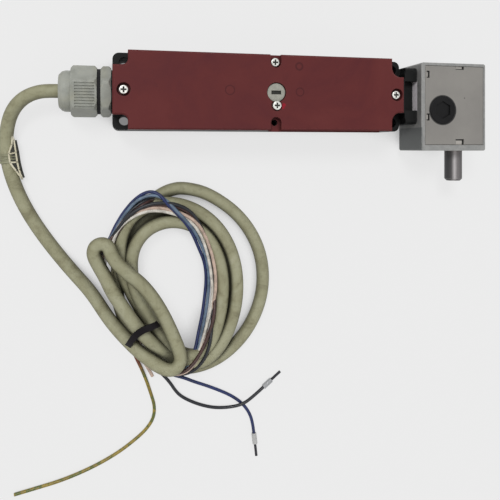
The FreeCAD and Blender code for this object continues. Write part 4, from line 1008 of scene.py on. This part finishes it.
# The cores leave the sheath at the top of the coil, follow it down the left side and once
# round, and come out again at the bottom
sheath_end = (-57.2, -56.4, 4.4)
first_middle = [
    (-57.7, -56.5, 9.0), (-62.7, -57.0, 14.6), (-68.7, -60.3, 14.8), (-73.5, -65.2, 14.0),
    (-77.1, -70.6, 13.4), (-79.7, -75.6, 13.0),
]
first_inner = [
    (-57.7, -57.2, 10.0), (-62.8, -58.2, 16.0), (-68.3, -61.6, 16.2), (-73.0, -66.3, 15.2),
    (-76.6, -71.6, 14.2), (-79.2, -76.2, 13.6),
]
first_outer = [
    (-57.7, -55.5, 8.0), (-63.3, -55.8, 13.0), (-69.4, -59.0, 13.2), (-74.4, -64.1, 12.6),
    (-77.7, -69.6, 12.2), (-80.2, -75.2, 12.0),
]
first_low = [
    (-59.4, -56.0, 4.6), (-65.0, -56.8, 6.0), (-71.4, -60.8, 7.6), (-76.6, -66.4, 8.4),
    (-80.2, -72.6, 9.0), (-82.4, -78.0, 9.6),
]
down_left = [
    (-83.6, -81.2, 13.2), (-87.6, -88.4, 12.4), (-87.0, -96.2, 11.6), (-82.6, -103.6, 11.0),
    (-78.0, -111.0, 10.4), (-73.4, -118.2, 9.6), (-69.4, -125.6, 8.4), (-67.4, -133.2, 7.0),
    (-66.6, -140.6, 5.6),
]
around_edge = [(-66.0, -142.6, 4.6), (-61.8, -147.6, 7.2), (-56.4, -150.6, 9.2), (-50.4, -152.4, 10.6)]
blue_up = [
    (-44.6, -152.6, 11.6), (-39.8, -147.6, 11.6), (-36.6, -140.4, 11.0), (-34.6, -131.1, 9.5),
    (-32.4, -122.0, 8.6), (-30.9, -111.7, 8.0), (-30.0, -101.5, 8.2), (-31.2, -92.4, 9.4),
    (-34.6, -84.6, 10.8), (-38.2, -76.4, 13.0), (-42.6, -69.6, 15.4), (-48.4, -63.4, 17.6),
    (-53.0, -58.8, 18.6), (-56.2, -54.2, 17.6), (-60.6, -52.4, 16.4), (-65.0, -53.6, 15.0),
    (-69.8, -57.1, 13.8), (-74.4, -62.6, 12.8), (-77.6, -67.5, 12.2), (-80.6, -73.4, 12.0),
]
light_blue_up = [
    (-44.4, -151.8, 13.2), (-39.0, -147.0, 13.0), (-34.8, -140.0, 11.6), (-32.7, -131.2, 9.8),
    (-30.8, -122.2, 9.6), (-29.2, -111.9, 9.4), (-28.6, -101.0, 9.6), (-30.0, -91.2, 10.6),
    (-33.4, -82.2, 11.8), (-37.4, -74.6, 13.6), (-42.6, -68.0, 16.6), (-48.2, -62.4, 18.8),
    (-53.4, -56.8, 17.6), (-58.6, -54.3, 16.8), (-64.6, -55.2, 15.6), (-69.6, -58.4, 15.0),
    (-73.8, -63.6, 14.0), (-77.2, -68.8, 13.2), (-80.0, -74.4, 13.0),
]
white_up = [
    (-43.8, -152.4, 12.4), (-38.8, -148.4, 12.6), (-34.4, -141.0, 12.4), (-31.6, -131.6, 11.8),
    (-28.9, -122.8, 11.2), (-26.9, -112.6, 11.0), (-27.3, -101.6, 11.2), (-29.0, -91.2, 11.8),
    (-31.8, -81.2, 12.8), (-36.2, -72.8, 14.4), (-41.6, -67.8, 15.6), (-48.2, -64.9, 15.8),
    (-56.6, -62.7, 16.0), (-64.6, -63.2, 15.9), (-71.2, -66.2, 15.4), (-76.2, -70.2, 14.8),
    (-79.2, -74.4, 14.2),
]
pink_up = [
    (-43.0, -152.0, 14.0), (-37.8, -147.8, 14.0), (-33.2, -140.2, 13.6), (-30.6, -131.0, 10.6),
    (-28.3, -121.8, 9.4), (-25.8, -111.8, 12.8), (-25.4, -101.0, 13.4), (-27.0, -90.2, 13.8),
    (-30.4, -79.6, 14.4), (-35.0, -71.2, 15.6), (-41.0, -66.2, 16.4), (-48.2, -63.2, 16.0),
    (-56.8, -61.0, 16.2), (-65.4, -61.9, 15.8), (-72.0, -65.2, 15.0), (-76.8, -69.6, 14.0),
    (-79.8, -74.6, 13.0),
]
brown_up = [
    (-42.6, -150.8, 15.0), (-37.4, -145.8, 15.0), (-32.8, -138.6, 15.0), (-29.6, -130.8, 14.8),
    (-26.4, -121.4, 14.4), (-25.8, -111.2, 11.6), (-26.6, -101.0, 8.8), (-27.8, -91.0, 9.4),
    (-31.0, -80.6, 11.2), (-35.0, -70.8, 14.2), (-39.6, -64.8, 16.2), (-45.4, -61.6, 16.4),
    (-51.6, -60.2, 16.4), (-58.2, -59.4, 16.4), (-65.0, -61.0, 15.8), (-71.6, -65.2, 15.2),
    (-76.0, -69.8, 14.4), (-79.2, -74.6, 13.6),
]
grey_up = [
    (-43.8, -153.8, 10.4), (-37.6, -151.4, 12.8), (-32.2, -145.2, 14.6), (-29.2, -137.0, 15.2),
    (-27.8, -128.8, 13.4), (-26.9, -120.6, 10.8), (-25.4, -110.8, 10.4), (-25.7, -100.4, 10.6),
    (-27.2, -90.2, 11.4), (-30.2, -79.8, 12.4), (-35.0, -70.0, 14.4), (-39.6, -63.6, 17.4),
    (-46.2, -59.8, 18.2), (-53.8, -58.4, 18.2), (-61.8, -59.0, 18.0), (-69.2, -62.4, 17.2),
    (-75.0, -67.6, 16.0), (-78.4, -72.4, 14.8), (-80.6, -75.8, 14.0),
]
blue_free = [
    (-62.4, -147.4, 4.6), (-56.6, -151.8, 4.2), (-49.0, -155.2, 5.0), (-42.0, -157.2, 6.0),
    (-36.5, -160.2, 5.0), (-30.0, -163.6, 2.4), (-22.5, -167.4, 1.0), (-15.4, -171.0, 0.95),
    (-9.2, -175.4, 0.98), (-4.6, -181.0, 0.95), (-2.0, -187.4, 0.98), (-1.3, -194.2, 1.3),
]
black_free = [
    (-62.8, -147.0, 3.4), (-58.2, -151.0, 3.4), (-53.4, -155.6, 3.8), (-49.6, -160.2, 4.0),
    (-47.0, -164.8, 2.6), (-43.8, -168.9, 1.3), (-38.8, -172.2, 0.95), (-32.4, -175.2, 0.98),
    (-24.6, -177.6, 0.95), (-16.4, -178.0, 1.4), (-8.4, -176.2, 3.5), (-1.2, -172.2, 2.2),
    (4.4, -168.0, 1.5),
]
green_yellow_free = [
    (-71.4, -138.4, 1.4), (-68.8, -144.6, 1.0), (-65.4, -151.8, 0.95), (-62.6, -158.8, 0.97),
    (-60.2, -166.2, 0.95), (-58.0, -173.4, 0.97), (-58.6, -180.2, 0.95), (-62.8, -186.2, 0.97),
    (-69.2, -191.4, 0.95), (-77.2, -196.8, 0.97), (-87.0, -201.8, 0.95), (-97.8, -206.0, 0.97),
    (-109.2, -209.4, 0.95), (-120.6, -211.6, 0.97), (-132.0, -213.8, 0.95),
]
pink_stub = [(-64.4, -146.6, 5.0), (-61.4, -151.6, 4.0), (-59.4, -156.0, 2.6)]


def moved(points, x, y, z):
    """The points, each moved by the same amounts."""
    return [(px + x, py + y, pz + z) for px, py, pz in points]


def down(x, z):
    """Down the coil's left side, moved sideways and up: lower the first time than the second."""
    return moved(down_left, x, 0.4, z)


def core_routes():
    """Each core's slot and control points: down the left side, round the coil, down again."""
    start = [sheath_end]
    return {
        "core_light_blue": (
            "core_mixed",
            moved(start, 0, 0.9, 0.4) + first_outer + down(1.0, -1.6)
            + moved(around_edge, 0.9, 0.9, 1.6) + light_blue_up + down(-0.8, 0.4),
        ),
        "core_blue": (
            "core_blue",
            moved(start, 0.4, 1.0, -1.4) + first_low + down(-1.0, -2.6) + around_edge
            + blue_up + down(1.0, 0.2) + blue_free,
        ),
        "core_black": (
            "core_black",
            moved(start, 0, 0, 1.4) + first_middle + down(-0.8, -1.4)
            + moved(around_edge, -0.6, -1.2, -1.8) + grey_up + down(-1.0, -1.0) + black_free,
        ),
        "core_white": (
            "core_mixed",
            moved(start, 0.6, -0.6, -1.6) + moved(first_low, 1.8, -1.0, 1.6) + down(1.4, -2.6)
            + moved(around_edge, 0.3, 0, 1.8) + white_up + down(2.4, 1.2),
        ),
        "core_pink": (
            "core_mixed",
            moved(start, 0.4, 0.2, -0.2) + moved(first_low, 1.2, -0.8, 0) + down(0.2, -3.2)
            + moved(around_edge, -0.9, -0.6, 0.2) + pink_up + down(0.8, 0.6) + pink_stub,
        ),
        "core_brown": (
            "core_mixed",
            moved(start, 0, -0.9, 0.6) + first_inner + down(2.4, -1.0)
            + moved(around_edge, 1.2, 1.2, 3.2) + brown_up + down(-1.4, 1.8),
        ),
        "core_green_yellow": (
            "core_green_yellow",
            moved(start, 0.8, -1.0, -1.4) + first_low + moved(down_left[:-1], -1.0, -1.6, -4.2)
            + green_yellow_free,
        ),
    }


# The nodes that each core stands for
core_nodes = {
    "core_light_blue": ["core_hank"],
    "core_blue": ["core_hank", "core_blue"],
    "core_black": ["core_hank", "core_black"],
    "core_white": ["core_hank"],
    "core_pink": ["core_hank", "core_tails"],
    "core_brown": ["core_hank"],
    "core_green_yellow": ["core_green_yellow"],
}
core_colours = {
    "core_light_blue": (100, 118, 138),
    "core_white": (218, 213, 203),
    "core_pink": (196, 172, 156),
    "core_brown": (66, 42, 38),
}


def add_cores():
    for name, (slot, points) in core_routes().items():
        wire = add_cord(name + "_wire", points, core_radius)
        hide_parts(*core_nodes[name])
        if name in core_colours:
            paint(wire, core(name, core_colours[name]))
        else:
            paint(wire, slot_material[slot])
        measured(wire)


add_cores()


def compress(spring):
    """Gives the spring its own copy of its mesh."""
    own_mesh(nodes[spring])


compress("bolt_spring")
compress("armature_spring")
